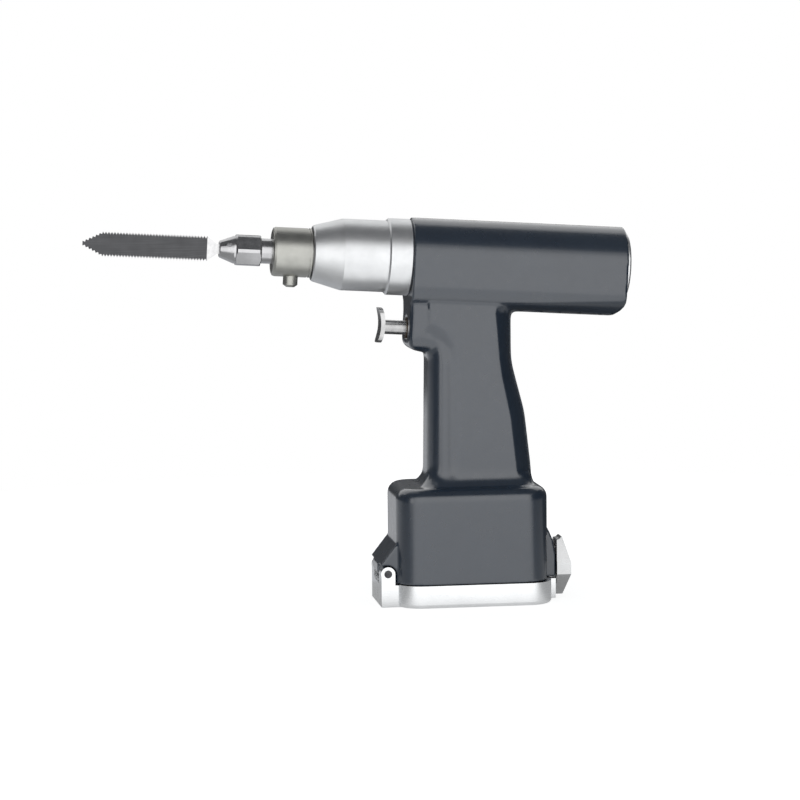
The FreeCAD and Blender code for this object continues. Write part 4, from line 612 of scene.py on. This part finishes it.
# Motor: rotor and stator are packs of thin punched steel sheets, whose edges show as fine lines
# round the barrel's axis; the windings are lacquered copper wire.
sheet_pitch, wire_pitch = 0.0005, 0.0006
laminations, tree, shader, place = surface("stacked_sheets")
shader.inputs["Metallic"].default_value = 1.0
sheets = node_in(tree, "ShaderNodeTexWave", bands_direction="X")
sheets.inputs["Scale"].default_value = bands_per(sheet_pitch)
tree.links.new(grained(tree, place, (1, 1, 1), barrel_dip), sheets.inputs["Vector"])
tree.links.new(two_tone(tree, sheets.outputs["Fac"], (0.10, 0.10, 0.11), (0.26, 0.26, 0.27)),
               shader.inputs["Base Color"])
tree.links.new(spread(tree, speckle(tree, place, 800), 0.4, 0.6), shader.inputs["Roughness"])
relief(tree, shader, sheets.outputs["Fac"], 0.00004)
dress(laminations, "stator_core", "rotor_core")
copper, tree, shader, place = surface("lacquered_copper")
shader.inputs["Metallic"].default_value = 1.0
shader.inputs["Coat Weight"].default_value = 0.6
wires = node_in(tree, "ShaderNodeTexWave", bands_direction="DIAGONAL")
wires.inputs["Scale"].default_value = bands_per(wire_pitch)
wires.inputs["Distortion"].default_value = 1.5
tree.links.new(place, wires.inputs["Vector"])
tree.links.new(two_tone(tree, wires.outputs["Fac"], (0.28, 0.09, 0.03), (0.62, 0.27, 0.11)),
               shader.inputs["Base Color"])
tree.links.new(spread(tree, speckle(tree, place, 600), 0.25, 0.4), shader.inputs["Roughness"])
relief(tree, shader, wires.outputs["Fac"], 0.00012)
dress(copper, "motor_windings")


# Control board: glass-filled epoxy under a green lacquer with copper tracks showing through, held
# by two zinc-plated screws; its transistors, capacitors, trigger sensor and contact block are moulded.
lacquer, tree, shader, place = surface("green_board")
tracks = node_in(tree, "ShaderNodeTexBrick")
tracks.inputs["Scale"].default_value = 60
tracks.inputs["Color1"].default_value = (0.010, 0.085, 0.035, 1)
tracks.inputs["Color2"].default_value = (0.014, 0.105, 0.045, 1)
tracks.inputs["Mortar"].default_value = (0.040, 0.190, 0.070, 1)
tree.links.new(grained(tree, place, (1, 1, 1)), tracks.inputs["Vector"])
tree.links.new(tracks.outputs["Color"], shader.inputs["Base Color"])
tree.links.new(spread(tree, speckle(tree, place, 500), 0.25, 0.4), shader.inputs["Roughness"])
relief(tree, shader, tracks.outputs["Fac"], 0.00003)
dress(lacquer, "control_board")
dress(bare("zinc_plate", 1.0, (0.50, 0.50, 0.47), (0.64, 0.64, 0.60), 900, 0.25, 0.4, 0.000002), "board_screws")
dress(bare("black_moulding", 0.0, (0.012, 0.012, 0.014), (0.024, 0.024, 0.026), 700, 0.4, 0.6, 0.00001),
      "trigger_sensor", "power_transistors", "capacitors", "contact_block")
dress(bare("gold_flash", 1.0, (0.70, 0.52, 0.22), (0.82, 0.62, 0.30), 600, 0.15, 0.3, 0.000001),
      "contact_blades", "battery_terminals")


# Battery: four nickel-plated steel cells in a shell of dark glass-filled nylon.
dress(bare("glass_filled_nylon", 0.0, (0.016, 0.019, 0.025), (0.026, 0.030, 0.038), 500, 0.45, 0.65, 0.00002),
      "battery_shell")
dress(bare("nickel_plate", 1.0, (0.50, 0.49, 0.46), (0.62, 0.61, 0.58), 200, 0.2, 0.35, 0.000002), "battery_cells")


# Battery lid and latch lever: milled aluminium, brushed along the faces, on blackened steel pins.
# The latch is a tone darker than the lid: painted shade, a shaded copy of the lid's brushed aluminium standing in for
# the grey its facets take in this light.
def brushed(name, dark, light):
    material, tree, shader, place = surface(name)
    shader.inputs["Metallic"].default_value = 1.0
    brushing = speckle(tree, grained(tree, place, (120, 120, 9000)), 1)
    tree.links.new(two_tone(tree, spread(tree, speckle(tree, place, 90), 0, 1), dark, light),
                   shader.inputs["Base Color"])
    tree.links.new(spread(tree, brushing, 0.22, 0.30), shader.inputs["Roughness"])
    relief(tree, shader, brushing, 0.0000003)
    return material


dress(brushed("brushed_aluminium", (0.86, 0.87, 0.88), (0.92, 0.93, 0.94)), "battery_lid")
# Painted shade: the latch gets the lid's brushed aluminium in a darker tone.
dress(brushed("brushed_latch_painted_shade", (0.58, 0.585, 0.59), (0.66, 0.665, 0.67)), "latch_lever")
dress(bare("blackened_pin", 1.0, (0.05, 0.05, 0.055), (0.09, 0.09, 0.095), 900, 0.25, 0.4, 0.000002),
      "hinge_pin", "latch_pin")
latch_coil = coil_spring("latch_coil", Vector((0.0397, 0, 0.0262)), Vector((0.0483, 0, 0.0262)), 0.0018, 0.0006, 5)
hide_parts("latch_spring")
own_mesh(latch_coil)
